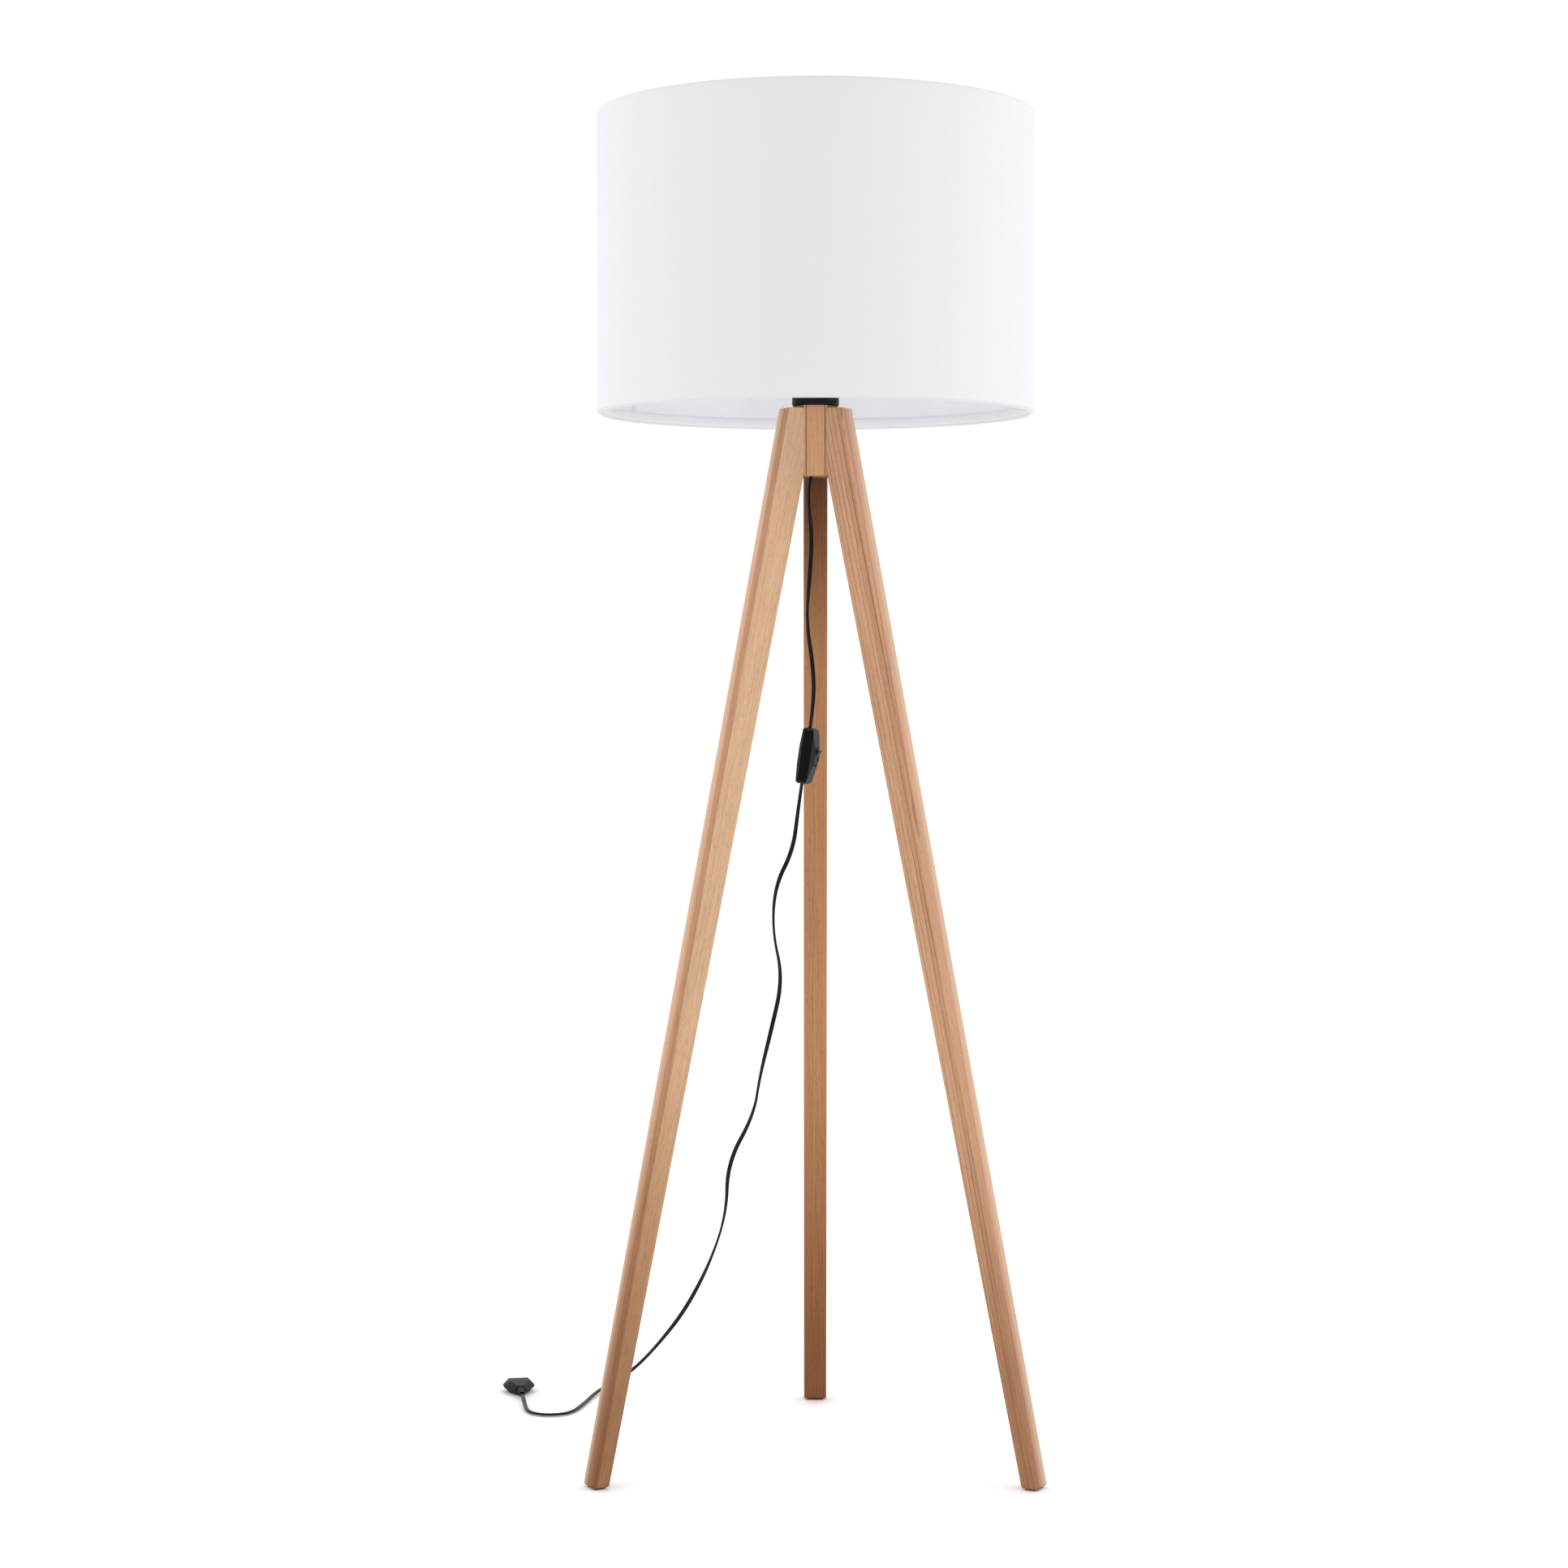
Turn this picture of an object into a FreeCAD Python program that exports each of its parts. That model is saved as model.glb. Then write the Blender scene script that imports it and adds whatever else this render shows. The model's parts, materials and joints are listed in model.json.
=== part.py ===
import FreeCAD, Part
import math
import os

import Sketcher

# Tripod floor lamp: three tapered wooden legs glued round a six-sided wooden hub, a screw-in lampholder
# on a threaded tube, a fabric drum shade on a wire spider, and a flat twin flex with a rocker switch.
# Millimetres, +Z up. The origin is on the floor, in the middle of the rectangle that the shade and the
# feet cover. The lamp's own axis stands a little in front of it, at Y = lamp_axis_y.

Vector = FreeCAD.Vector
Rotation = FreeCAD.Rotation
Placement = FreeCAD.Placement

SIZES = {
    # where the lamp's axis stands
    "lamp_axis_y": -19.0,
    # legs: distances of the two sloping faces from the lamp's axis at floor level, and their lean
    "leg_thickness": 25.0,
    "leg_foot_outer": 263.8,
    "leg_foot_inner": 245.3,
    "leg_outer_lean": 0.2082,
    "leg_inner_lean": 0.2208,
    "leg_top": 1089.3,
    "leg_rounding": 3.0,
    "foot_rounding": 2.5,
    "felt_thickness": 1.5,
    "felt_inset": 4.0,
    # hub
    "hub_flats": 40.0,
    "hub_bottom": 1019.7,
    "hub_top": 1092.3,
    "hub_bore_radius": 5.25,
    "hub_recess_radius": 11.0,
    "hub_recess_roof": 1068.7,
    "dowel_radius": 4.0,
    "dowel_length": 20.0,
    "dowel_in_hub": 7.7,
    "dowel_low": 1034.0,
    "dowel_high": 1076.0,
    "glue_line": 0.05,
    "disc_radius": 24.15,
    "disc_thickness": 10.0,
    # threaded tube and its fixings
    "tube_radius": 5.0,
    "tube_bore_radius": 4.0,
    "tube_bottom": 1057.0,
    "tube_top": 1112.5,
    "washer_radius": 9.5,
    "washer_thickness": 1.5,
    "nut_flats": 14.0,
    "nut_thickness": 4.0,
    "grip_top": 1062.6,
    "grip_bottom": 1042.0,
    "grip_radius": 6.5,
    "grip_mouth_radius": 3.9,
    "grip_bore_radius": 2.5,
    # lampholder, E27
    "holder_base": 1102.3,
    "holder_cap_radius": 20.2,
    "holder_cap_top": 1128.0,
    "holder_thread_radius": 19.5,
    "holder_top": 1163.0,
    "insert_bottom": 1118.0,
    "insert_top": 1130.0,
    "shell_radius": 13.3,
    "shell_length": 24.0,
    "terminal_reach": 13.5,
    "shade_ring_radius": 28.0,
    "fitter_height": 1142.0,
    # shade
    "shade_radius": 225.0,
    "shade_bottom": 1083.6,
    "shade_top": 1390.6,
    "shade_roll": 4.0,
    "fabric_thickness": 0.8,
    "liner_thickness": 0.6,
    "tuck_height": 8.0,
    "rim_wire_radius": 2.4,
    "spoke_radius": 2.0,
    "seam_width": 6.0,
    # bulb, A60 on an E27 cap
    "bulb_tip": 1134.6,
    "bulb_length": 110.0,
    "bulb_radius": 30.0,
    "bulb_cap_radius": 13.0,
    # flat twin flex, kept here as a round tube of its full width
    "flex_radius": 2.3,
    "core_radius": 1.15,
    # in-line rocker switch
    "switch_length": 58.0,
    "switch_width": 23.0,
    "switch_back": 8.0,
    "switch_back_end": 6.6,
    "switch_ridge": 10.4,
    "switch_end": 5.0,
    "switch_wall": 1.8,
    "rocker_pivot": 6.3,
    "rocker_reach": 9.4,
    "rocker_width": 12.0,
    # plug, CEE 7/16
    "plug_width": 35.3,
    "plug_height": 13.7,
    "plug_front": 53.0,
    "plug_pin_radius": 2.0,
    "plug_pin_length": 19.0,
    "plug_pin_spacing": 18.2,
}

LEG_AZIMUTHS = {"leg_rear": 90.0, "leg_left": 210.0, "leg_right": 330.0}

# The free flex, point by point: from the cord grip to the switch, and from the switch to the plug.
FLEX_UPPER = [
    (0, 0, 1042.0), (0, 0, 1031), (-6.8, 0, 1014), (-7.4, 0, 992), (-3.4, -1, 958), (-6, 0, 916),
    (-9.6, 1, 872), (-2.0, 1, 822), (-1.6, 0, 788), (-5.6, 0, 760.8),
]
FLEX_LOWER = [
    (-14.0, 0, 703.4), (-18, 0, 676), (-23, 4, 634), (-42, 13, 596), (-45, 26, 548),
    (-34, 42, 496), (-47, 62, 438), (-59, 84, 388), (-66, 108, 342), (-95, 134, 286),
    (-97, 158, 226), (-116, 188, 166), (-145, 222, 106), (-178, 256, 59), (-202, 280, 30),
    (-222, 290, 13), (-240, 283, 5), (-250, 259, 2.6), (-257, 219, 2.4), (-267, 178, 2.4),
    (-282, 165, 2.4), (-302, 165, 2.4), (-317, 179, 2.4), (-322, 201, 3.6), (-326, 224, 6.85),
    (-329, 241, 6.85),
]

# Where the switch hangs in the flex: its two ends, and the turn of its rocker from +X towards the front.
SWITCH_TOP = FLEX_UPPER[-1]
SWITCH_BOTTOM = FLEX_LOWER[0]
SWITCH_TURN = -15.0
# the flex lies this far behind the split between the switch's two halves
SWITCH_SPLIT = 2.0
ROCKER_TILT = 10.0
LEVER_TILT = -8.0
LEVER_PIVOT = -4.6
LEVER_BARREL = 1.2
CASE_SCREWS = [(0, 16.9), (0, -16.9)]

SHADE_SEAM_AZIMUTH = 150.0


class Length:
    """A size in millimetres, together with the sheet expression that gives it."""

    def __init__(self, value, text=None):
        self.value = float(value)
        self.text = text or f"({float(value)!r})"

    def __add__(self, other):
        return combined(self, "+", other, self.value + number(other))

    def __sub__(self, other):
        return combined(self, "-", other, self.value - number(other))

    def __mul__(self, factor):
        return combined(self, "*", factor, self.value * number(factor))

    def __truediv__(self, divisor):
        return combined(self, "/", divisor, self.value / number(divisor))

    def __neg__(self):
        return self * -1.0


def number(item):
    return item.value if isinstance(item, Length) else float(item)


def length(item):
    return item if isinstance(item, Length) else Length(item)


def combined(left, sign, right, value):
    return Length(value, f"({left.text} {sign} {length(right).text})")


class Sizes:
    """The sheet's cells as lengths: size.hub_flats is the cell with that alias."""

    def __getattr__(self, name):
        return Length(SIZES[name], f"sizes.{name}")


size = Sizes()
doc = FreeCAD.newDocument("tripod_floor_lamp")
nodes = []


def fill_sheet():
    sheet = doc.addObject("Spreadsheet::Sheet", "sizes")
    for row, (name, value) in enumerate(SIZES.items(), start=1):
        sheet.set(f"A{row}", name)
        sheet.set(f"B{row}", str(value))
        sheet.setAlias(f"B{row}", name)
    doc.recompute()


def bind(item, name, amount):
    item.setExpression(name, length(amount).text)


def on_axis(turn=0.0):
    """The placement of a piece drawn about the lamp's axis, turned about it by an azimuth."""
    return Placement(Vector(0, SIZES["lamp_axis_y"], 0), Rotation(Vector(0, 0, 1), turn))


class Piece:
    """One sub-part: a PartDesign body, its sketches in its own planes, and its features."""

    def __init__(self, label, placement=None):
        self.body = doc.addObject("PartDesign::Body", label)
        self.body.Label = label
        self.body.Placement = placement or on_axis()
        nodes.append(self.body)

    def origin(self, role):
        return next(item for item in self.body.Origin.OriginFeatures if item.Role == role)

    def sketch(self, role, lift=0.0):
        drawn = self.body.newObject("Sketcher::SketchObject", f"{self.body.Label}_sketch")
        drawn.AttachmentSupport = [(self.origin(role), "")]
        drawn.MapMode = "FlatFace"
        bind(drawn, "AttachmentOffset.Base.z", lift)
        return drawn

    def feature(self, kind, profile=None):
        made = self.body.newObject(f"PartDesign::{kind}", f"{self.body.Label}_{kind.lower()}")
        if profile is not None:
            made.Profile = profile
        return made

    def pad(self, profile, depth, middle=False, backwards=False):
        made = self.feature("Pad", profile)
        bind(made, "Length", depth)
        made.SideType = "Symmetric" if middle else "One side"
        made.Reversed = backwards
        return made

    def pocket(self, profile, depth, middle=False, backwards=False):
        """Cuts against the sketch plane's normal, or along it when backwards."""
        before = self.volume()
        made = self.feature("Pocket", profile)
        bind(made, "Length", depth)
        made.SideType = "Symmetric" if middle else "One side"
        made.Reversed = backwards
        if self.volume() >= before - 0.01:
            raise RuntimeError(f"{self.body.Label}: {made.Name} cuts nothing")
        return made

    def turn(self, profile, kind="Revolution", axis="V_Axis"):
        made = self.feature(kind, profile)
        made.ReferenceAxis = (profile, [axis])
        made.Angle = 360.0
        return made

    def around(self, features, count):
        """Repeats features at even steps about the piece's Z axis."""
        made = self.feature("PolarPattern")
        made.Originals = features
        made.Axis = (self.origin("Z_Axis"), [""])
        made.Angle = 360.0
        made.Occurrences = count
        self.body.Tip = made
        return made

    def soften(self, kind, amount, chosen):
        """Fillets or chamfers the edges that the test picks."""
        doc.recompute()
        base = self.body.Tip
        names = [f"Edge{i}" for i, edge in enumerate(base.Shape.Edges, start=1) if chosen(edge)]
        if not names:
            raise RuntimeError(f"{self.body.Label}: no edge to {kind.lower()}")
        made = self.feature(kind)
        made.Base = (base, names)
        bind(made, "Radius" if kind == "Fillet" else "Size", amount)
        return made

    def volume(self):
        doc.recompute()
        return self.body.Shape.Volume


def spot(corner):
    return Vector(number(corner[0]), number(corner[1]), 0)


def pin(sketch, item, end, corner):
    """Ties a point of the sketch to its two distances from the sketch's origin."""
    for kind, amount in (("DistanceX", corner[0]), ("DistanceY", corner[1])):
        index = sketch.addConstraint(Sketcher.Constraint(kind, -1, 1, item, end, number(amount)))
        sketch.setExpression(f"Constraints[{index}]", length(amount).text)


def trace(sketch, path):
    """A closed outline through the path's corners. A corner's third entry, where it has one, is a
    point that the arc to the next corner passes through."""
    sides = []
    for corner, following in zip(path, path[1:] + path[:1]):
        start, end = spot(corner), spot(following)
        if len(corner) == 3:
            side = Part.Arc(start, spot(corner[2]), end)
        else:
            side = Part.LineSegment(start, end)
        index = sketch.addGeometry(side, False)
        first = 1 if sketch.getPoint(index, 1).distanceToPoint(start) < 1e-6 else 2
        sides.append((index, first, 3 - first))
    for (index, _, last), (following, first, _) in zip(sides, sides[1:] + sides[:1]):
        sketch.addConstraint(Sketcher.Constraint("Coincident", index, last, following, first))
    for corner, (index, first, _) in zip(path, sides):
        pin(sketch, index, first, corner)
        if len(corner) == 3:
            via = sketch.addGeometry(Part.Point(spot(corner[2])), True)
            pin(sketch, via, 1, corner[2])
            sketch.addConstraint(Sketcher.Constraint("PointOnObject", via, 1, index))
    return sketch


def circles(sketch, centres, radius):
    """Circles of one radius, at centres given as pairs of lengths."""
    for centre in centres:
        shape = Part.Circle(spot(centre), Vector(0, 0, 1), number(radius))
        index = sketch.addGeometry(shape, False)
        pin(sketch, index, 3, centre)
        bound = sketch.addConstraint(Sketcher.Constraint("Radius", index, number(radius)))
        sketch.setExpression(f"Constraints[{bound}]", length(radius).text)
    return sketch


def rectangle(low_x, low_y, high_x, high_y):
    return [(low_x, low_y), (high_x, low_y), (high_x, high_y), (low_x, high_y)]


def hexagon(flats):
    """Corners of a regular hexagon with two corners on the sketch's X axis."""
    reach = flats / math.sqrt(3)
    angles = [math.radians(60 * step) for step in range(6)]
    return [(reach * math.cos(angle), reach * math.sin(angle)) for angle in angles]


def turned(label, path, placement=None):
    """A piece turned about its Z axis from an outline of radius and height."""
    piece = Piece(label, placement)
    piece.turn(trace(piece.sketch("XZ_Plane"), path))
    return piece


def sleeve(label, inner, outer, bottom, top, placement=None):
    return turned(label, rectangle(inner, bottom, outer, top), placement)


def ring_edge(radius, height):
    """Picks the circular edges of a radius and height about the Z axis."""
    def chosen(edge):
        if not isinstance(edge.Curve, Part.Circle):
            return False
        same_radius = abs(edge.Curve.Radius - number(radius)) < 0.01
        return same_radius and abs(edge.Curve.Center.z - number(height)) < 0.01
    return chosen


def edge_along(axis, least=0.0):
    """Picks straight edges that run along an axis and are longer than the least length."""
    def chosen(edge):
        if not isinstance(edge.Curve, Part.Line):
            return False
        direction = edge.tangentAt(edge.FirstParameter)
        return abs(direction.dot(axis)) > 0.97 and edge.Length > number(least)
    return chosen


def edge_in_plane(normal, distance):
    """Picks every edge that lies in the plane at a distance along its normal."""
    def chosen(edge):
        points = [edge.valueAt(edge.FirstParameter), edge.valueAt(edge.LastParameter)]
        points.append(edge.valueAt((edge.FirstParameter + edge.LastParameter) / 2))
        return all(abs(point.dot(normal) - number(distance)) < 0.01 for point in points)
    return chosen


def both(first, second):
    return lambda edge: first(edge) and second(edge)


UP = Vector(0, 0, 1)
ALONG = Vector(1, 0, 0)
ACROSS = Vector(0, 1, 0)


# ---- routes of flex and wire ----

def smooth_edges(points):
    """Straight runs joined by tangent arcs, as large as 0.45 of the shorter run allows."""
    edges = []
    radii = []
    start = points[0]
    for before, corner, after in zip(points, points[1:], points[2:]):
        run_in, run_out = corner - before, after - corner
        reach = 0.45 * min(run_in.Length, run_out.Length)
        radius = reach / math.tan(run_in.getAngle(run_out) / 2)
        way_in, way_out = Vector(run_in).normalize(), Vector(run_out).normalize()
        first, last = corner - way_in * reach, corner + way_out * reach
        inward = Vector(way_out - way_in).normalize()
        middle = corner + inward * (math.hypot(radius, reach) - radius)
        edges.append(Part.LineSegment(start, first).toShape())
        edges.append(Part.Arc(first, middle, last).toShape())
        radii.append(radius)
        start = last
    edges.append(Part.LineSegment(start, points[-1]).toShape())
    return edges, radii


def wire_solid(points, radius):
    """A round tube along a route, with the route's length and bend radii."""
    points = [Vector(*point) for point in points]
    edges, radii = smooth_edges(points)
    path = Part.Wire(edges)
    circle = Part.Circle(points[0], points[1] - points[0], radius)
    solid = path.makePipeShell([Part.Wire([circle.toShape()])], True, False)
    expected = math.pi * radius ** 2 * path.Length
    if abs(solid.Volume - expected) > 0.01 * expected:
        raise RuntimeError("a tube's volume is not its section times its length")
    return solid, path.Length, radii


def routed(label, routes, radius, placement=None):
    """A sub-part of one or more round tubes along routes."""
    made = doc.addObject("Part::Feature", label)
    made.Label = label
    solids = []
    for route in routes:
        solid, run, radii = wire_solid(route, number(radius))
        solids.append(solid)
        bends = " ".join(f"{bend:.0f}" for bend in radii)
        print(f"{label}: {run:.1f} mm long, bend radii {bends or 'none'}")
    made.Shape = solids[0] if len(solids) == 1 else Part.makeCompound(solids)
    made.Placement = placement or on_axis()
    nodes.append(made)
    return made


# ---- the stand ----

def build_legs():
    """The three legs: tapered in side view, cut flat for the floor, the hub and the top."""
    foot = size.felt_thickness
    inner_foot = size.leg_foot_inner - foot * size.leg_inner_lean
    outer_foot = size.leg_foot_outer - foot * size.leg_outer_lean
    outer_top = size.leg_foot_outer - size.leg_top * size.leg_outer_lean
    hub_face = size.hub_flats / 2
    bend = (size.leg_foot_inner - hub_face) / size.leg_inner_lean
    profile = [
        (inner_foot, foot), (outer_foot, foot), (outer_top, size.leg_top),
        (hub_face, size.leg_top), (hub_face, bend),
    ]
    dowel_centres = [(0, size.dowel_low), (0, size.dowel_high)]
    dowel_hole = size.dowel_length - size.dowel_in_hub + 0.3
    for label, azimuth in LEG_AZIMUTHS.items():
        leg = Piece(label, on_axis(azimuth))
        leg.pad(trace(leg.sketch("XZ_Plane"), profile), size.leg_thickness, middle=True)
        leg.soften("Fillet", size.leg_rounding, edge_along(UP, least=500))
        leg.soften("Fillet", size.foot_rounding, edge_in_plane(UP, foot))
        holes = circles(leg.sketch("YZ_Plane", lift=hub_face), dowel_centres,
                        size.dowel_radius + size.glue_line)
        leg.pocket(holes, dowel_hole, backwards=True)


def build_dowels():
    """Two dowels in each leg, drawn in the rear leg's direction and repeated."""
    dowels = Piece("leg_dowels")
    outer_end = size.hub_flats / 2 - size.dowel_in_hub + size.dowel_length
    centres = [(0, size.dowel_low), (0, size.dowel_high)]
    ends = circles(dowels.sketch("XZ_Plane", lift=-outer_end), centres, size.dowel_radius)
    dowels.around([dowels.pad(ends, size.dowel_length)], 3)


def build_foot_pads():
    """A thin felt pad under each foot, a little smaller than the foot."""
    pads = Piece("foot_pads")
    half = size.leg_thickness / 2 - size.felt_inset
    near = size.leg_foot_inner + size.felt_inset
    far = size.leg_foot_outer - size.felt_inset
    face = trace(pads.sketch("XY_Plane"), rectangle(-half, near, half, far))
    pads.around([pads.pad(face, size.felt_thickness)], 3)


def build_hub():
    """The hexagonal block, bored for the tube and recessed below for its nut and the cord grip."""
    hub = Piece("hub_block")
    flats = size.hub_flats
    height = size.hub_top - size.hub_bottom
    hub.pad(trace(hub.sketch("XY_Plane", lift=size.hub_bottom), hexagon(flats)), height)
    hub.soften("Chamfer", 0.6, edge_in_plane(UP, size.hub_bottom))
    bore = circles(hub.sketch("XY_Plane", lift=size.hub_top), [(0, 0)], size.hub_bore_radius)
    hub.pocket(bore, height)
    recess = circles(hub.sketch("XY_Plane", lift=size.hub_recess_roof), [(0, 0)],
                     size.hub_recess_radius)
    hub.pocket(recess, size.hub_recess_roof - size.hub_bottom)
    centres = [(0, size.dowel_low), (0, size.dowel_high)]
    holes = circles(hub.sketch("XZ_Plane", lift=-(flats / 2)), centres,
                    size.dowel_radius + size.glue_line)
    hub.around([hub.pocket(holes, size.dowel_in_hub + 0.3, backwards=True)], 3)


def build_top_disc():
    """The black disc that closes the top of the hub under the lampholder."""
    bottom = size.hub_top
    top = bottom + size.disc_thickness
    disc = sleeve("top_disc", size.tube_radius + 0.2, size.disc_radius, bottom, top)
    disc.soften("Fillet", 1.5, ring_edge(size.disc_radius, bottom))
    disc.soften("Fillet", 0.8, ring_edge(size.disc_radius, top))


def build_tube():
    """The M10 threaded tube that ties lampholder, disc and hub together, with washer and nut."""
    sleeve("threaded_tube", size.tube_bore_radius, size.tube_radius, size.tube_bottom, size.tube_top)
    washer_bottom = size.hub_recess_roof - size.washer_thickness
    sleeve("tube_washer", size.tube_radius + 0.3, size.washer_radius, washer_bottom,
           size.hub_recess_roof)
    nut = Piece("tube_nut")
    nut_bottom = washer_bottom - size.nut_thickness
    nut.pad(trace(nut.sketch("XY_Plane", lift=nut_bottom), hexagon(size.nut_flats)),
            size.nut_thickness)
    hole = circles(nut.sketch("XY_Plane", lift=washer_bottom), [(0, 0)], size.tube_radius + 0.05)
    nut.pocket(hole, size.nut_thickness)


def build_cord_grip():
    """The nylon grip on the tube's lower end: a collar that tapers to the flex, and its screw."""
    collar = size.grip_radius
    shoulder = size.grip_top - 10.0
    thread = size.tube_radius + 0.05
    grip = turned("cord_grip", [
        (size.grip_bore_radius, size.grip_bottom), (size.grip_mouth_radius, size.grip_bottom),
        (collar - 0.4, shoulder), (collar, shoulder + 1.0), (collar, size.grip_top),
        (thread, size.grip_top), (thread, size.tube_bottom - 0.2),
        (size.grip_bore_radius, size.tube_bottom - 0.2),
    ])
    screw_height = size.grip_bottom + 7.5
    screw_hole = circles(grip.sketch("YZ_Plane"), [(0, screw_height)], 1.55)
    grip.pocket(screw_hole, size.grip_radius + 2.0, backwards=True)
    screw = Piece("grip_screw")
    shank = circles(screw.sketch("YZ_Plane", lift=2.5), [(0, screw_height)], 1.5)
    screw.pad(shank, 3.6)
    head = circles(screw.sketch("YZ_Plane", lift=6.1), [(0, screw_height)], 2.5)
    screw.pad(head, 1.8)


# ---- the lampholder ----

def build_holder():
    """An E27 lampholder: cap and threaded sleeve outside, ceramic insert and contacts inside."""
    base = size.holder_base
    cap = size.holder_cap_radius
    cap_top = size.holder_cap_top
    thread = size.tube_radius + 0.05
    turned("holder_cap", [
        (thread, base), (14, base), (cap, base + 6.5), (cap, cap_top), (cap - 2, cap_top),
        (cap - 2, base + 7.7), (13.2, base + 2.2), (9, base + 2.2), (9, base + 9.7),
        (thread, base + 9.7),
    ])
    body_radius = size.holder_thread_radius
    top = size.holder_top
    turned("holder_body", [
        (16.3, cap_top - 6), (cap - 2.15, cap_top - 6), (cap - 2.15, cap_top + 0.2),
        (21.5, cap_top + 0.2), (21.5, cap_top + 3.2), (body_radius, cap_top + 3.2),
        (body_radius, top - 1), (body_radius - 1, top), (14.8, top), (14.8, top - 2.5),
        (16.3, top - 2.5),
    ])
    reach = size.terminal_reach
    insert = sleeve("holder_insert", 2.2, 15.9, size.insert_bottom, size.insert_top)
    screw_holes = circles(insert.sketch("XY_Plane", lift=size.insert_bottom),
                          [(reach, 0), (-reach, 0)], 1.55)
    insert.pocket(screw_holes, 7.0, backwards=True)
    shell = size.shell_radius
    bottom = size.insert_top
    turned("holder_screw_shell", [
        (10, bottom), (shell + 0.5, bottom), (shell + 0.5, bottom + size.shell_length),
        (shell, bottom + size.shell_length), (shell, bottom + 0.6), (10, bottom + 0.6),
    ])
    tongue = Piece("holder_centre_contact")
    tongue.pad(trace(tongue.sketch("XZ_Plane"), [
        (-8, bottom), (-4, bottom), (1.5, bottom + 3.7), (3, bottom + 3.7), (3, bottom + 4.2),
        (1.3, bottom + 4.2), (-4.2, bottom + 0.5), (-8, bottom + 0.5),
    ]), 5, middle=True)
    plates = Piece("holder_terminals")
    plate_top = size.insert_bottom - 0.5
    for side in (-1, 1):
        face = rectangle(reach * side - 3, -3, reach * side + 3, 3)
        plates.pad(trace(plates.sketch("XY_Plane", lift=plate_top - 2), face), 2)
    drilled = circles(plates.sketch("XY_Plane", lift=plate_top), [(reach, 0), (-reach, 0)], 1.55)
    plates.pocket(drilled, 2)
    screws = Piece("holder_terminal_screws")
    centres = [(reach, 0), (-reach, 0)]
    heads_top = plate_top - 2
    screws.pad(circles(screws.sketch("XY_Plane", lift=heads_top - 1.8), centres, 2.4), 1.8)
    screws.pad(circles(screws.sketch("XY_Plane", lift=heads_top), centres, 1.5), 8)


def build_shade_rings():
    """The two screw rings that clamp the shade's fitter on the lampholder, with finger notches."""
    bore = size.holder_thread_radius + 0.05
    outer = size.shade_ring_radius
    levels = {
        "shade_ring_lower": (size.fitter_height - 5.0, size.fitter_height),
        "shade_ring_upper": (size.fitter_height + 2.0, size.fitter_height + 8.0),
    }
    for label, (bottom, top) in levels.items():
        ring = sleeve(label, bore, outer, bottom, top)
        ring.soften("Chamfer", 0.8, ring_edge(outer, top))
        notch = circles(ring.sketch("XY_Plane", lift=top), [(outer + 0.8, 0)], 2.0)
        ring.around([ring.pocket(notch, top - bottom)], 16)


# ---- the shade ----

def build_fitter():
    """The spider: a flat centre ring, three spokes and the bottom rim wire, welded as one."""
    fitter = Piece("shade_fitter")
    height = size.fitter_height
    eye = trace(fitter.sketch("XZ_Plane"), rectangle(size.holder_thread_radius + 0.7, height,
                                                     34, height + 2))
    fitter.turn(eye)
    rim_radius = size.shade_radius - size.shade_roll
    rim_height = size.shade_bottom + size.shade_roll
    fitter.turn(circles(fitter.sketch("XZ_Plane"), [(rim_radius, rim_height)],
                        size.rim_wire_radius))
    # A spoke is a round rod from the ring's edge down to the rim: turned about its own middle line.
    inner = (size.shade_ring_radius + 3.5, height + 1)
    outer = (rim_radius, rim_height)
    fall = (inner[1] - outer[1]).value
    run = (outer[0] - inner[0]).value
    span = math.hypot(run, fall)
    aside = (size.spoke_radius * (fall / span), size.spoke_radius * (run / span))
    spoke_sketch = fitter.sketch("XZ_Plane")
    trace(spoke_sketch, [
        inner, outer,
        (outer[0] + aside[0], outer[1] + aside[1]),
        (inner[0] + aside[0], inner[1] + aside[1]),
    ])
    spoke = fitter.feature("Revolution", spoke_sketch)
    spoke.ReferenceAxis = (spoke_sketch, ["Edge1"])
    spoke.Angle = 360.0
    fitter.around([spoke], 3)
    fitter.body.Placement = on_axis(90.0)


def build_rim():
    rim = Piece("shade_top_ring")
    centre = (size.shade_radius - size.shade_roll, size.shade_top - size.shade_roll)
    rim.turn(circles(rim.sketch("XZ_Plane"), [centre], size.rim_wire_radius))


def build_cover():
    """The fabric drum: a straight wall whose two edges roll over the rim wires and tuck inside."""
    outer = size.shade_radius
    cloth = size.fabric_thickness
    roll = size.shade_roll
    inside = outer - roll * 2
    wall = outer - cloth
    tuck = wall - size.liner_thickness - 0.2
    top, bottom = size.shade_top, size.shade_bottom
    high, low = top - roll, bottom + roll
    high_tuck, low_tuck = high - size.tuck_height, low + size.tuck_height
    middle = outer - roll
    cover = turned("shade_cover", [
        (outer, low), (outer, high, (middle, top)),
        (inside, high), (tuck - cloth, high_tuck), (tuck, high_tuck),
        (inside + cloth, high, (middle, top - cloth)),
        (wall, high), (wall, low, (middle, bottom + cloth)),
        (inside + cloth, low), (tuck, low_tuck), (tuck - cloth, low_tuck),
        (inside, low, (middle, bottom)),
    ], on_axis(90.0))
    slit_half = size.spoke_radius + 0.5
    slit = rectangle(inside - 1.0, -slit_half, wall - 1.6, slit_half)
    slit_bottom = low - 2.6
    opened = cover.pocket(trace(cover.sketch("XY_Plane", lift=slit_bottom), slit),
                          size.tuck_height + 4.0, backwards=True)
    cover.around([opened], 3)


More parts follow.
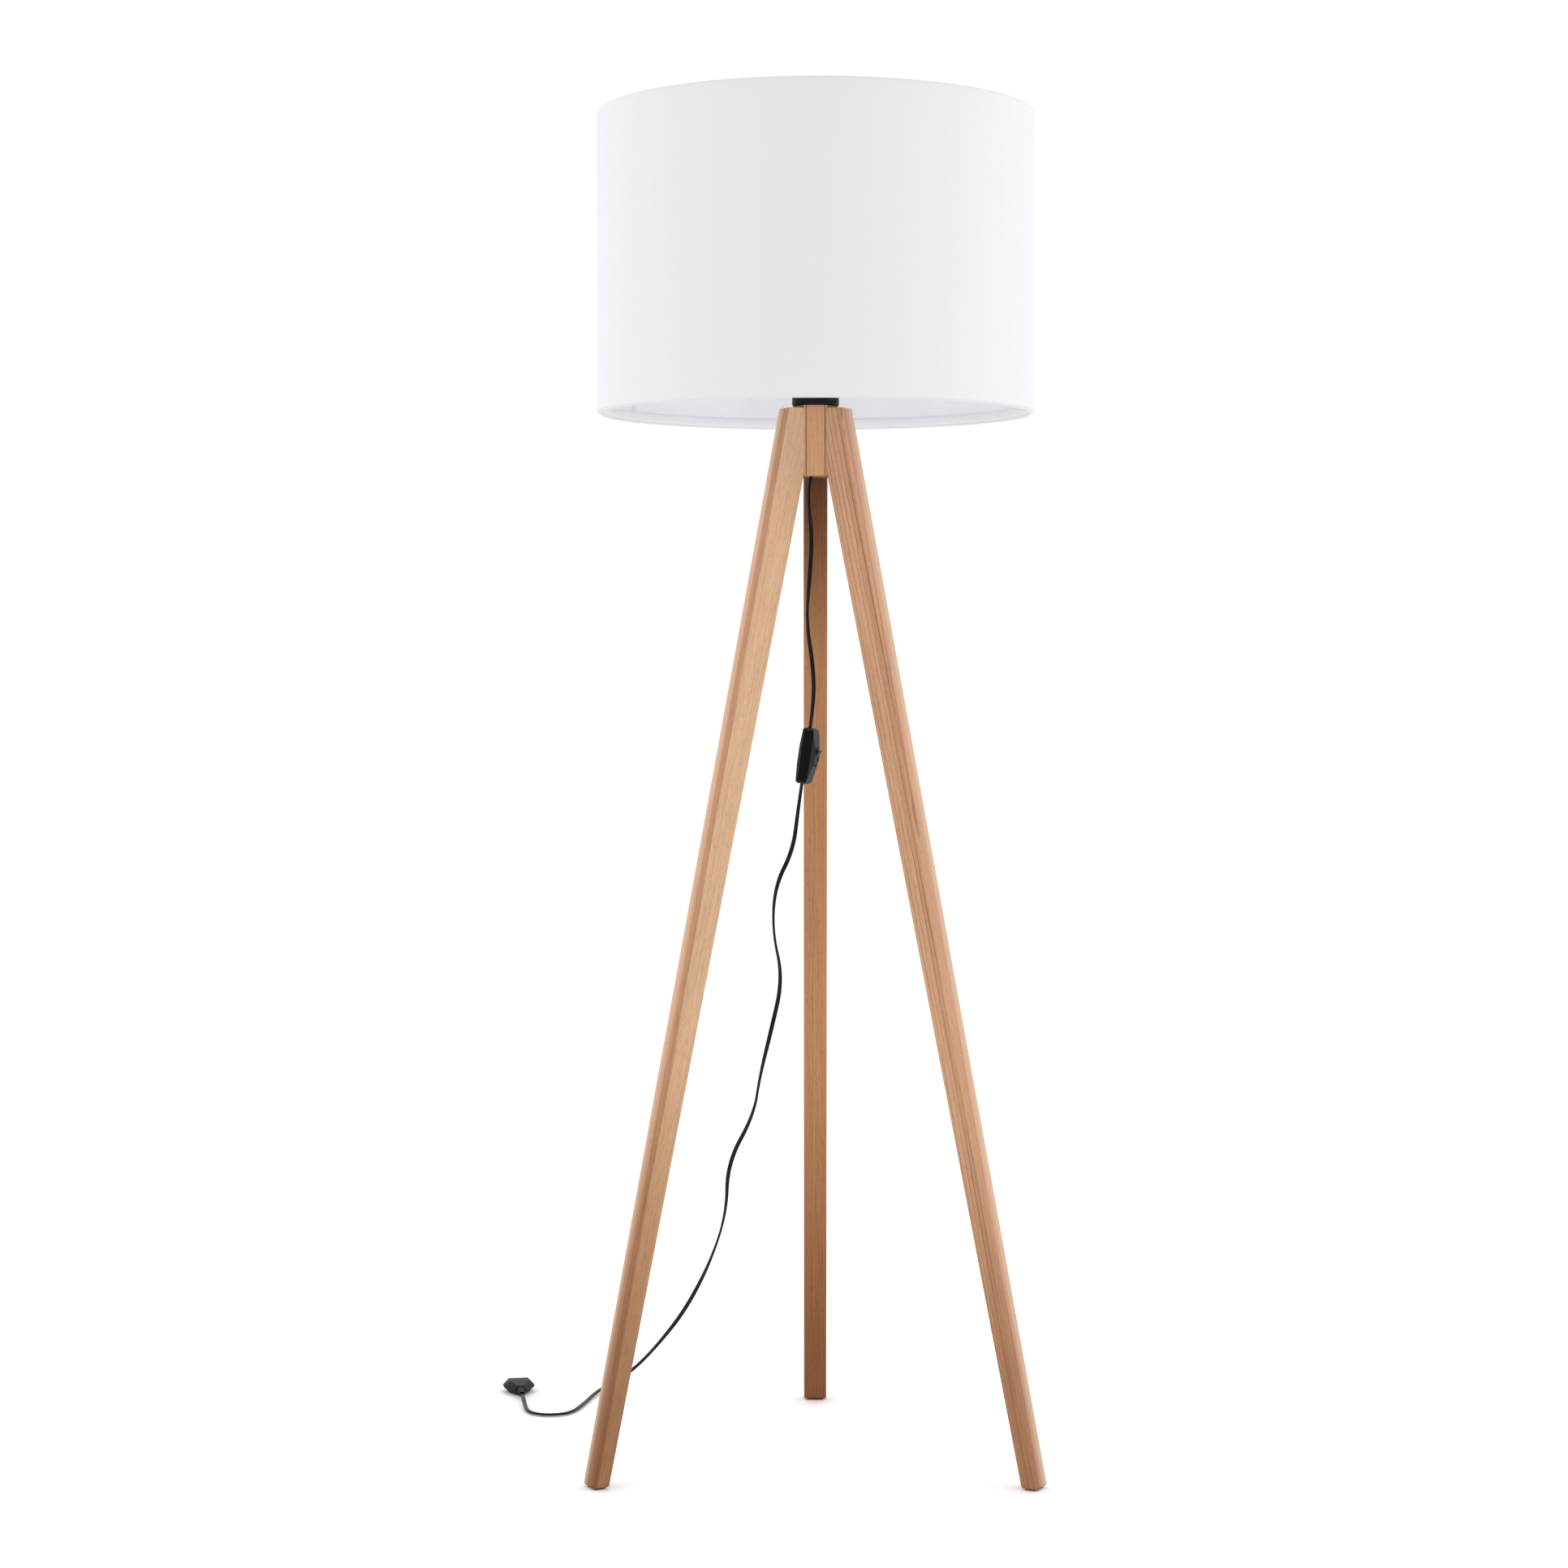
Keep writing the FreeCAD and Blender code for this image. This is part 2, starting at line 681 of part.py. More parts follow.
def build_liner():
    """The stiff white plastic sheet that the fabric is laminated to, and the strip of its seam."""
    wall = size.shade_radius - size.fabric_thickness - 0.1
    bottom = size.shade_bottom + size.shade_roll + 5.0
    top = size.shade_top - size.shade_roll - 5.0
    sleeve("shade_liner", wall - size.liner_thickness, wall, bottom, top)
    seam = Piece("shade_seam", on_axis(SHADE_SEAM_AZIMUTH))
    inner = wall - size.liner_thickness - 0.55
    half = size.seam_width / 2
    face = rectangle(inner, -half, inner + 0.5, half)
    strip_bottom = size.shade_bottom + size.shade_roll + size.tuck_height + 0.5
    strip_top = size.shade_top - size.shade_roll - size.tuck_height - 0.5
    seam.pad(trace(seam.sketch("XY_Plane", lift=strip_bottom), face), strip_top - strip_bottom)


# ---- the bulb ----

def build_bulb():
    """An LED bulb: the E27 cap with its ridges, the insulator and tip, the body, boards and dome."""
    tip = size.bulb_tip
    cap = size.bulb_cap_radius
    cap_bottom = tip + 4.8
    cap_top = tip + 27.0
    inner = cap - 1.05
    ridges = [(inner, cap_bottom), (cap - 0.75, cap_bottom)]
    pitch = 3.63
    for step in range(5):
        level = cap_bottom + 1.6 + pitch * step
        ridges += [(cap - 0.75, level), (cap, level + pitch * 0.35), (cap, level + pitch * 0.5),
                   (cap - 0.75, level + pitch * 0.85)]
    ridges += [(cap - 0.75, cap_top), (inner, cap_top)]
    turned("bulb_cap", ridges)
    turned("bulb_insulator", [
        (0, tip + 1), (4.8, tip + 1), (cap - 1.2, cap_bottom + 0.4), (cap - 1.2, cap_bottom + 1.6),
        (0, cap_bottom + 1.6),
    ])
    turned("bulb_contact", [(0, tip), (3.4, tip), (4.6, tip + 0.95), (0, tip + 0.95)])
    neck = inner - 0.05
    shoulder = size.bulb_tip + size.bulb_length - 38.0
    wide = size.bulb_radius
    turned("bulb_body", [
        (neck - 1.4, cap_bottom + 2.2), (neck, cap_bottom + 2.2), (neck, cap_top + 0.2),
        (13.9, cap_top + 0.2), (14.1, cap_top + 3.0), (24.5, shoulder - 14.0), (wide, shoulder),
        (wide - 1.5, shoulder), (22.8, shoulder - 13.5), (12.6, cap_top + 3.4),
        (neck - 1.4, cap_top + 1.4),
    ])
    dome_foot = shoulder + 0.2
    top = size.bulb_tip + size.bulb_length
    skirt = top - wide
    glass = 1.2

    def dome(shrink):
        radius = wide - shrink
        middle = (radius * math.sqrt(0.5), skirt + radius * math.sqrt(0.5))
        return [(0, dome_foot), (radius, dome_foot), (radius, skirt, middle), (0, skirt + radius)]

    globe = turned("bulb_globe", dome(0.0))
    globe.turn(trace(globe.sketch("XZ_Plane"), dome(glass)), kind="Groove")
    board_bottom = shoulder - 3.0
    sleeve("led_board", 2.0, 25.0, board_bottom, board_bottom + 1.6)
    chips = Piece("led_chips")
    chip = trace(chips.sketch("XY_Plane", lift=board_bottom + 1.6), rectangle(15, -1.5, 18, 1.5))
    chips.around([chips.pad(chip, 0.8)], 10)
    driver = Piece("bulb_driver")
    plate = rectangle(-8.5, cap_bottom + 3.0, 8.5, board_bottom - 1.0)
    driver.pad(trace(driver.sketch("XZ_Plane"), plate), 1.6, middle=True)


# ---- flex and wires ----

def build_flex():
    """The free flex in two tubes, and the run held inside the hub with its two cores."""
    routed("flex_upper", [FLEX_UPPER], size.flex_radius)
    routed("flex_lower", [FLEX_LOWER], size.flex_radius)
    bared = SIZES["tube_top"] - 4.0
    routed("flex_inner", [[(0, 0, SIZES["grip_bottom"]), (0, 0, bared)]], size.flex_radius)
    plate_edge = SIZES["terminal_reach"] - 3.0
    plate_middle = SIZES["insert_bottom"] - 1.5
    for label, side in (("core_live", 1), ("core_neutral", -1)):
        route = [(1.15 * side, 0, bared), (1.15 * side, 0, bared + 5.0),
                 (5.0 * side, 0, plate_middle), (plate_edge * side, 0, plate_middle)]
        routed(label, [route], size.core_radius)


# ---- the switch, drawn upright: flex along Z, rocker towards +X, width along Y ----

def switch_placement():
    top, bottom = Vector(*SWITCH_TOP), Vector(*SWITCH_BOTTOM)
    upright = Rotation(Vector(0, 0, 1), top - bottom)
    turned_on_flex = upright.multiply(Rotation(Vector(0, 0, 1), SWITCH_TURN))
    middle = (top + bottom) / 2 + Vector(0, SIZES["lamp_axis_y"], 0)
    return Placement(middle, turned_on_flex).multiply(Placement(Vector(SWITCH_SPLIT, 0, 0), Rotation()))


def about_pivot(placement, pivot_x, tilt):
    """The placement turned about the Y axis through a point on the piece's X axis."""
    pivot = Vector(pivot_x, 0, 0)
    return placement.multiply(Placement(Vector(0, 0, 0), Rotation(Vector(0, 1, 0), tilt), pivot))


def build_switch_case(place):
    """The two halves of the case, with the flex holes at the ends and the rocker's window."""
    half_length = size.switch_length / 2
    half_width = size.switch_width / 2
    back, back_end = size.switch_back, size.switch_back_end
    ridge, end = size.switch_ridge, size.switch_end
    wall = size.switch_wall
    inner_width = half_width - wall - 0.4
    inner_length = half_length - wall
    flex_hole = [(-SWITCH_SPLIT, 0)]
    flex_hole_radius = size.flex_radius + 0.15

    outline = rectangle(-half_width, -half_length, half_width, half_length)
    corner = 2.0

    def taper(piece, sign, middle, height, end_height):
        """Slopes the outer face down to a lower height at both ends, and takes off its end edges."""
        for side in (-1, 1):
            beyond = (half_length + 1) * side
            slope = [(height * sign, middle * side),
                     (end_height * sign, (half_length - corner) * side),
                     ((end_height - corner) * sign, half_length * side),
                     ((end_height - corner) * sign, beyond),
                     ((height + 1) * sign, beyond), ((height + 1) * sign, middle * side)]
            piece.pocket(trace(piece.sketch("XZ_Plane"), slope), size.switch_width + 2, middle=True)

    def bevel(piece, low, high, reach):
        """Slopes both long sides inwards, from the height low out to the height high."""
        for side in (-1, 1):
            slope = [(low, half_width * side), (high, (half_width - reach) * side),
                     (high, (half_width + 1) * side), (low, (half_width + 1) * side)]
            piece.pocket(trace(piece.sketch("XY_Plane", lift=half_length), slope), size.switch_length)

    base = Piece("switch_base", place)
    base.pad(trace(base.sketch("YZ_Plane", lift=-back), outline), back)
    base.soften("Fillet", 4.0, edge_along(ALONG))
    taper(base, -1, 10, back, back_end)
    bevel(base, Length(-4.5), -back, 2.5)
    floor, floor_end = -back + wall, -back_end + wall + 0.1
    hollow = [(0, -inner_length), (floor_end, -inner_length), (floor, -16.6), (floor, 16.6),
              (floor_end, inner_length), (0, inner_length)]
    base.pocket(trace(base.sketch("XZ_Plane"), hollow), inner_width * 2, middle=True)
    base.pocket(circles(base.sketch("XY_Plane", lift=half_length), flex_hole, flex_hole_radius),
                size.switch_length)
    saddle_rise = 0.7
    base.pad(trace(base.sketch("YZ_Plane", lift=floor), rectangle(-2.4, -1.4, 2.4, 1.4)), saddle_rise)
    groove = circles(base.sketch("XZ_Plane"), [(LEVER_PIVOT, 0)], LEVER_BARREL + 0.05)
    base.pocket(groove, 4.8, middle=True)
    base.pad(circles(base.sketch("YZ_Plane", lift=floor), CASE_SCREWS, 2.0), back - wall)
    base.pocket(circles(base.sketch("YZ_Plane"), CASE_SCREWS, 1.3), back)
    base.pocket(circles(base.sketch("YZ_Plane", lift=-back + 1.5), CASE_SCREWS, 2.1), 1.5)

    cover = Piece("switch_cover", place)
    cover.pad(trace(cover.sketch("YZ_Plane"), outline), ridge)
    cover.soften("Fillet", 4.0, edge_along(ALONG))
    taper(cover, 1, 4, ridge, end)
    bevel(cover, Length(6.0), ridge, 4.0)
    room = rectangle(-inner_width, -inner_length, inner_width, inner_length)
    cover.pocket(trace(cover.sketch("YZ_Plane"), room), end - wall, backwards=True)
    cover.pocket(circles(cover.sketch("XY_Plane", lift=half_length), flex_hole, flex_hole_radius),
                 size.switch_length)
    window_width = size.rocker_width / 2 + 0.3
    window_length = size.rocker_reach + 0.4
    window = rectangle(-window_width, -window_length, window_width, window_length)
    cover.pocket(trace(cover.sketch("YZ_Plane"), window), ridge + 1.0, backwards=True)
    sockets = circles(cover.sketch("XZ_Plane"), [(size.rocker_pivot, 0)], 1.25)
    cover.pocket(sockets, size.rocker_width + 2.4, middle=True)
    cover.pad(circles(cover.sketch("YZ_Plane"), CASE_SCREWS, 2.0), end - wall)
    cover.pocket(circles(cover.sketch("YZ_Plane"), CASE_SCREWS, 1.2), 4.4, backwards=True)

    screws = Piece("switch_case_screws", place)
    head, shank = -back + 0.6, -back + 1.5
    screws.pad(circles(screws.sketch("YZ_Plane", lift=head), CASE_SCREWS, 1.95), shank - head)
    screws.pad(circles(screws.sketch("YZ_Plane", lift=shank), CASE_SCREWS, 1.15), 10.4)
    for half_across, half_along in ((1.3, 0.25), (0.25, 1.3)):
        for across, level in CASE_SCREWS:
            slot = rectangle(across - half_across, level - half_along, across + half_across,
                             level + half_along)
            screws.pocket(trace(screws.sketch("YZ_Plane", lift=head + 0.5), slot), 0.5)


def edge_in_plane_pair(distance):
    """Picks edges in either of the two planes Y = distance and Y = -distance."""
    positive = edge_in_plane(ACROSS, distance)
    negative = edge_in_plane(ACROSS, -distance)
    return lambda edge: positive(edge) or negative(edge)


def build_rocker(place):
    """The rocker with its pivot pins and stem, the spring and plunger in it, at its rest tilt."""
    pivot, reach = size.rocker_pivot, size.rocker_reach
    seat = about_pivot(place, pivot.value, ROCKER_TILT)
    rocker = Piece("switch_rocker", seat)

    def end_point(angle, side):
        turn = math.radians(angle)
        return (pivot + reach * math.sin(turn), reach * (math.cos(turn) * side))

    rocker.pad(trace(rocker.sketch("XZ_Plane"), [
        (*end_point(-8, 1), end_point(12, 1)), (*end_point(33, 1),), (pivot + 3.6, 0),
        (*end_point(33, -1), end_point(12, -1)), (*end_point(-8, -1),),
    ]), size.rocker_width, middle=True)
    rocker.soften("Fillet", 0.5, both(edge_in_plane_pair(size.rocker_width / 2),
                                      lambda edge: edge.CenterOfMass.x > number(pivot) + 2.5))
    stem = circles(rocker.sketch("YZ_Plane", lift=-1.0), [(0, 0)], 2.3)
    rocker.pad(stem, 7.0)
    bore = circles(rocker.sketch("YZ_Plane", lift=-1.0), [(0, 0)], 1.35)
    rocker.pocket(bore, 5.6, backwards=True)
    pins = circles(rocker.sketch("XZ_Plane"), [(pivot, 0)], 1.2)
    rocker.pad(pins, size.rocker_width + 2.0, middle=True)

    plunger = Piece("switch_plunger", seat)
    plunger.pad(circles(plunger.sketch("YZ_Plane", lift=-3.2), [(0, 0)], 1.2), 3.6)
    plunger.soften("Fillet", 0.9, edge_in_plane(ALONG, -3.2))
    spring = Piece("switch_spring", seat)
    coil = spring.feature("AdditiveHelix", circles(spring.sketch("XZ_Plane"), [(0.65, 0.9)], 0.18))
    coil.ReferenceAxis = (spring.origin("X_Axis"), [""])
    coil.Mode = 0
    coil.Pitch = 0.75
    coil.Height = 2.4


def build_lever(place):
    """The see-saw contact under the rocker, at its rest tilt, with the barrel that it rocks on."""
    lever = Piece("switch_lever", about_pivot(place, LEVER_PIVOT, LEVER_TILT))
    lever.pad(trace(lever.sketch("XZ_Plane"), [
        (-4.9, -7), (-4.1, -7), (-4.4, 0), (-4.1, 7), (-4.9, 7), (-5.2, 0),
    ]), 4, middle=True)
    lever.pad(circles(lever.sketch("XZ_Plane"), [(LEVER_PIVOT, 0)], LEVER_BARREL), 4, middle=True)


def build_switch_inside(place):
    """Terminal blocks and screws, clamps and screws, flex ends and cores, case screws."""
    blocks = Piece("switch_terminals", place)
    screws = Piece("switch_terminal_screws", place)
    centres = [(side * 4.6, level) for side in (-1, 1) for level in (-13, 13)]
    for across, level in centres:
        face = rectangle(across - 2.4, level - 3.2, across + 2.4, level + 3.2)
        blocks.pad(trace(blocks.sketch("YZ_Plane", lift=-5.6), face), 5.0)
    blocks.pocket(circles(blocks.sketch("YZ_Plane", lift=-0.6), centres, 1.35), 2.6)
    screws.pad(circles(screws.sketch("YZ_Plane", lift=-2.8), centres, 1.3), 2.2)
    screws.pad(circles(screws.sketch("YZ_Plane", lift=-0.6), centres, 2.0), 1.2)
    clamps = Piece("switch_clamps", place)
    clamp_screws = Piece("switch_clamp_screws", place)
    ends = [(side * 5.6, level) for side in (-1, 1) for level in (-23.5, 23.5)]
    for level in (-23.5, 23.5):
        bar = rectangle(-8, level - 1.8, 8, level + 1.8)
        clamps.pad(trace(clamps.sketch("YZ_Plane", lift=0.4), bar), 1.2)
    clamps.pocket(circles(clamps.sketch("YZ_Plane", lift=1.6), ends, 1.2), 1.2)
    clamp_screws.pad(circles(clamp_screws.sketch("YZ_Plane", lift=-4.9), ends, 1.1), 6.5)
    clamp_screws.pad(circles(clamp_screws.sketch("YZ_Plane", lift=1.6), ends, 1.9), 1.2)
    half = SIZES["switch_length"] / 2
    depth = -SWITCH_SPLIT
    stubs = [[(depth, 0, half * side), (depth, 0, 21.0 * side)] for side in (-1, 1)]
    routed("switch_flex_ends", stubs, size.flex_radius, place)
    cores = []
    for side in (-1, 1):
        for across in (-1, 1):
            cores.append([(depth, 1.15 * across, 21.0 * side), (depth, 1.15 * across, 19.6 * side),
                          (-3.0, 4.4 * across, 17.6 * side), (-3.0, 4.4 * across, 16.2 * side)])
    routed("switch_cores", cores, 0.7, place)


def build_switch():
    place = switch_placement()
    build_switch_case(place)
    build_rocker(place)
    build_lever(place)
    build_switch_inside(place)


# ---- the plug, drawn with the flex coming along X and the pins pointing to +X ----

def plug_placement():
    end, before = Vector(*FLEX_LOWER[-1]), Vector(*FLEX_LOWER[-2])
    heading = math.degrees(math.atan2(end.y - before.y, end.x - before.x))
    return Placement(end + Vector(0, SIZES["lamp_axis_y"], 0), Rotation(Vector(0, 0, 1), heading))


def build_plug():
    """A moulded flat two-pin plug: ribbed relief, body, insulating sleeves and pins."""
    place = plug_placement()
    front = size.plug_front
    half_width, half_height = size.plug_width / 2, size.plug_height / 2

    def face(width, height, corner):
        return [(-width, 0), (-width + corner, -height), (width - corner, -height), (width, 0),
                (width - corner, height), (-width + corner, height)]

    body = Piece("plug_body", place)
    body.pad(trace(body.sketch("YZ_Plane", lift=front - 14),
                   face(half_width, half_height, half_height)), 14)
    neck = trace(body.sketch("YZ_Plane", lift=20), face(Length(6.5), Length(5.0), 3.0))
    shoulder = trace(body.sketch("YZ_Plane", lift=front - 14),
                     face(half_width, half_height, half_height))
    loft = body.feature("AdditiveLoft", neck)
    loft.Sections = [shoulder]
    loft.Ruled = True
    body.soften("Fillet", 1.2, edge_in_plane(ALONG, front))
    spacing = size.plug_pin_spacing / 2
    centres = [(spacing, 0), (-spacing, 0)]
    body.pocket(circles(body.sketch("YZ_Plane", lift=front), centres, 1.45), 12)

    relief = [(0, 2.35), (0, 3.2)]
    for rib in range(5):
        start = 1.0 + 3.6 * rib
        wide = 3.3 + 0.25 * rib
        relief += [(start, wide), (start + 2.4, wide + 0.15), (start + 2.4, wide - 0.6),
                   (start + 3.6, wide - 0.5)]
    relief += [(20, 4.4), (20, 2.35)]
    boot = Piece("plug_relief", place)
    boot.turn(trace(boot.sketch("XZ_Plane"), relief), axis="H_Axis")

    sleeves = Piece("plug_sleeves", place)
    sleeves.pad(circles(sleeves.sketch("YZ_Plane", lift=front), centres, 1.8), 10)
    sleeves.pocket(circles(sleeves.sketch("YZ_Plane", lift=front + 10), centres, 1.45), 10)
    pins = Piece("plug_pins", place)
    tip = front + size.plug_pin_length
    pins.pad(circles(pins.sketch("YZ_Plane", lift=front - 11), centres, 1.4), 21)
    pins.pad(circles(pins.sketch("YZ_Plane", lift=front + 10), centres, size.plug_pin_radius),
             size.plug_pin_length - 10)
    pins.soften("Fillet", 1.0, edge_in_plane(ALONG, tip))


def check_and_write():
    doc.recompute()
    for item in doc.Objects:
        if "Invalid" in item.State or "Error" in item.State:
            raise RuntimeError(f"{item.Label} failed: {item.State}")
    for item in nodes:
        if item.Shape.isNull() or not item.Shape.isValid() or not item.Shape.Solids:
            raise RuntimeError(f"{item.Label} has no valid solid")
    os.makedirs("parts", exist_ok=True)
    for item in nodes:
        item.Shape.exportStep(f"parts/{item.Label}.step")
    print(len(nodes), "sub-parts")


fill_sheet()
build_legs()
build_dowels()
build_foot_pads()
build_hub()
build_top_disc()
build_tube()
build_cord_grip()
build_holder()
build_shade_rings()
build_fitter()
build_rim()
build_cover()
build_liner()
build_bulb()
build_flex()
build_switch()
build_plug()
check_and_write()
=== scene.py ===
"""The looks of the tripod floor lamp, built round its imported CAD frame.

Metres, in the frame's own axes: Z is up, the front is -Y, and the rear leg points to +Y.
"""

import json
import math

import bmesh
import bpy
from mathutils import Matrix, Vector, noise


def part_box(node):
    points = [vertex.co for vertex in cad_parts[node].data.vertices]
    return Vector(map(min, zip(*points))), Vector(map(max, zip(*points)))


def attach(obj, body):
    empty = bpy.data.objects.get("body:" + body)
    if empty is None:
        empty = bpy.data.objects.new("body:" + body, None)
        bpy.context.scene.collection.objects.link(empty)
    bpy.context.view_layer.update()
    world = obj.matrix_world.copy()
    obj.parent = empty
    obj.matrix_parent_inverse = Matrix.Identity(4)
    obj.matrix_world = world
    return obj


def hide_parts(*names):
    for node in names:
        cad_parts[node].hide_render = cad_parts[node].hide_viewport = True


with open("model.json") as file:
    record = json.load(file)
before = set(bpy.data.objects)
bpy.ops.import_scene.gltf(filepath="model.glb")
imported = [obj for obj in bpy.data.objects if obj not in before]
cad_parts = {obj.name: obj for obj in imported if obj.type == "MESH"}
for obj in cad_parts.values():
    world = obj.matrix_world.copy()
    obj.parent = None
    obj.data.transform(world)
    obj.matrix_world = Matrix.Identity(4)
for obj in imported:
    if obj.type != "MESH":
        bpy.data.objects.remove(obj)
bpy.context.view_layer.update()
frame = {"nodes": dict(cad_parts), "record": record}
nodes = frame["nodes"]
scene = bpy.context.scene

MM = 0.001
TURN = 2 * math.pi
LAMP_BODY = "lamp"


# ---- measures of the frame ----

def half_width(name):
    """Half of a node's extent along X."""
    low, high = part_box(name)
    return (high.x - low.x) / 2


def radial(angle):
    """The level direction at an angle about the lamp's axis, from +X."""
    return Vector((math.cos(angle), math.sin(angle), 0.0))


def compass(azimuth):
    """The level direction at an azimuth in degrees, from +X."""
    return radial(math.radians(azimuth))


DISC_LOW, DISC_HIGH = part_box("top_disc")
LAMP_AXIS = Vector((0.0, (DISC_LOW.y + DISC_HIGH.y) / 2, 0.0))

HUB_LOW, HUB_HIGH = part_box("hub_block")
HUB_MIDDLE = (HUB_LOW + HUB_HIGH) / 2
HUB_FACE = (HUB_HIGH.y - HUB_LOW.y) / 2

LEG_AZIMUTHS = {"leg_rear": 90, "leg_left": 210, "leg_right": 330}
LEG_HALF = half_width("leg_rear")

SHADE_RADIUS = half_width("shade_cover")
SHADE_BOTTOM, SHADE_TOP = [corner.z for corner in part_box("shade_cover")]


# ---- meshes ----

def linked(thing):
    scene.collection.objects.link(thing)
    return thing


def new_piece(name, mesh, material=None, smooth=True):
    """An object of the lamp from a bmesh, with outward normals."""
    bmesh.ops.recalc_face_normals(mesh, faces=mesh.faces)
    for face in mesh.faces:
        face.smooth = smooth
    data = bpy.data.meshes.new(name)
    mesh.to_mesh(data)
    mesh.free()
    if material:
        data.materials.append(material)
    return linked(bpy.data.objects.new(name, data))


def skin(mesh, rings, closed=False):
    """Joins rings of vertices with faces; an open skin gets its two ends closed."""
    pairs = list(zip(rings, rings[1:]))
    if closed:
        pairs.append((rings[-1], rings[0]))
    for ring, following in pairs:
        for near in range(len(ring)):
            far = (near + 1) % len(ring)
            mesh.faces.new((ring[near], ring[far], following[far], following[near]))
    if not closed:
        mesh.faces.new(list(reversed(rings[0])))
        mesh.faces.new(rings[-1])


def ring_at(mesh, angle, profile):
    """New vertices at an angle about the lamp's axis, from (radius, height) points."""
    direction = radial(angle)
    return [mesh.verts.new(LAMP_AXIS + direction * radius + Vector((0, 0, height)))
            for radius, height in profile]


def smooth_line(points):
    """The points along the NURBS spline that has the given points as its control points."""
    curve = bpy.data.curves.new("route", "CURVE")
    curve.dimensions = "3D"
    curve.resolution_u = 24
    spline = curve.splines.new("NURBS")
    spline.points.add(len(points) - 1)
    for point, place in zip(spline.points, points):
        point.co = (*place, 1.0)
    spline.order_u = 3
    spline.use_endpoint_u = True
    route = linked(bpy.data.objects.new("route", curve))
    bpy.context.view_layer.update()
    mesh = bpy.data.meshes.new_from_object(route)
    line = [vertex.co.copy() for vertex in mesh.vertices]
    bpy.data.objects.remove(route)
    bpy.data.meshes.remove(mesh)
    return line


def distances(line):
    """How far along the line each of its points is."""
    reached = [0.0]
    for before, after in zip(line, line[1:]):
        reached.append(reached[-1] + (after - before).length)
    return reached


def eased(stops, where):
    """The value at a distance, from (distance, value) stops, with a smooth change between them."""
    for (start, first), (end, last) in zip(stops, stops[1:]):
        if where <= end:
            share = max(0.0, (where - start) / (end - start))
            return first + (last - first) * share * share * (3 - 2 * share)
    return stops[-1][1]


def swept(name, line, outline, twist):
    """A closed mesh that carries an outline along a line, turning it about the line."""
    mesh = bmesh.new()
    side = Vector((1, 0, 0))
    rings = []
    for index, (point, where) in enumerate(zip(line, distances(line))):
        ahead = line[min(index + 1, len(line) - 1)]
        behind = line[max(index - 1, 0)]
        forward = (ahead - behind).normalized()
        side = (side - forward * side.dot(forward)).normalized()
        turned = Matrix.Rotation(math.radians(eased(twist, where)), 3, forward) @ side
        upward = forward.cross(turned)
        rings.append([mesh.verts.new(point + turned * x + upward * y) for x, y in outline])
    skin(mesh, rings)
    return new_piece(name, mesh)


# ---- the camera ----

CAMERA_SENSOR = 36.0  # millimetres across, as the lens is
CAMERA_LENS = 72.37
CAMERA_DISTANCE = 3.263
CAMERA_HEIGHT = 0.8391
CAMERA_DOWN = math.radians(2.393)
CAMERA_LEFT = math.radians(0.571)


def add_camera():
    camera = linked(bpy.data.objects.new("camera", bpy.data.cameras.new("camera")))
    camera.data.sensor_width = CAMERA_SENSOR
    camera.data.lens = CAMERA_LENS
    camera.location = LAMP_AXIS + Vector((0, -CAMERA_DISTANCE, CAMERA_HEIGHT))
    camera.rotation_euler = (math.pi / 2 - CAMERA_DOWN, 0, CAMERA_LEFT)
    scene.camera = camera


add_camera()


# ---- the flex ----

FLEX_WIDTH = 0.0046
FLEX_CORE = 1.3 * MM
FLEX_GROOVE = 135  # each core's arc ends this many degrees either side of its outermost point
# The flex's control points, from the lamp's axis: from the hub to the switch, and on to the plug.
FLEX_UPPER = [
    (0, 0, 1.0420), (0, 0, 1.031), (-0.0068, 0, 1.014), (-0.0074, 0, 0.992),
    (-0.0034, -0.001, 0.958), (-0.006, 0, 0.916), (-0.0096, 0.001, 0.872), (-0.002, 0.001, 0.822),
    (-0.0016, 0, 0.788), (-0.0056, 0, 0.7608),
]
FLEX_LOWER = [
    (-0.014, 0, 0.7034), (-0.018, 0, 0.676), (-0.023, 0.004, 0.634), (-0.042, 0.013, 0.596),
    (-0.045, 0.026, 0.548), (-0.034, 0.042, 0.496), (-0.047, 0.062, 0.438),
    (-0.059, 0.084, 0.388), (-0.066, 0.108, 0.342), (-0.095, 0.134, 0.286),
    (-0.097, 0.158, 0.226), (-0.116, 0.188, 0.166), (-0.145, 0.222, 0.106),
    (-0.178, 0.256, 0.059), (-0.202, 0.280, 0.030), (-0.222, 0.290, 0.013),
    (-0.240, 0.283, 0.005), (-0.250, 0.259, 0.0026), (-0.257, 0.219, 0.0024),
    (-0.267, 0.178, 0.0024), (-0.282, 0.165, 0.0024), (-0.302, 0.165, 0.0024),
    (-0.317, 0.179, 0.0024), (-0.322, 0.201, 0.0036), (-0.326, 0.224, 0.00685),
    (-0.329, 0.241, 0.00685),
]
# How the flat flex turns about its own length: distance from the start, and degrees.
TWIST_UPPER = [(0, 90), (0.05, 60), (0.11, 0), (0.16, 70), (0.22, 20), (0.29, 65)]
TWIST_LOWER = [
    (0, 65), (0.08, 20), (0.16, 85), (0.26, 10), (0.36, 80), (0.45, 20), (0.55, 95), (0.66, 30),
    (0.75, 80), (0.84, 90), (0.95, 90), (1.06, 90),
]


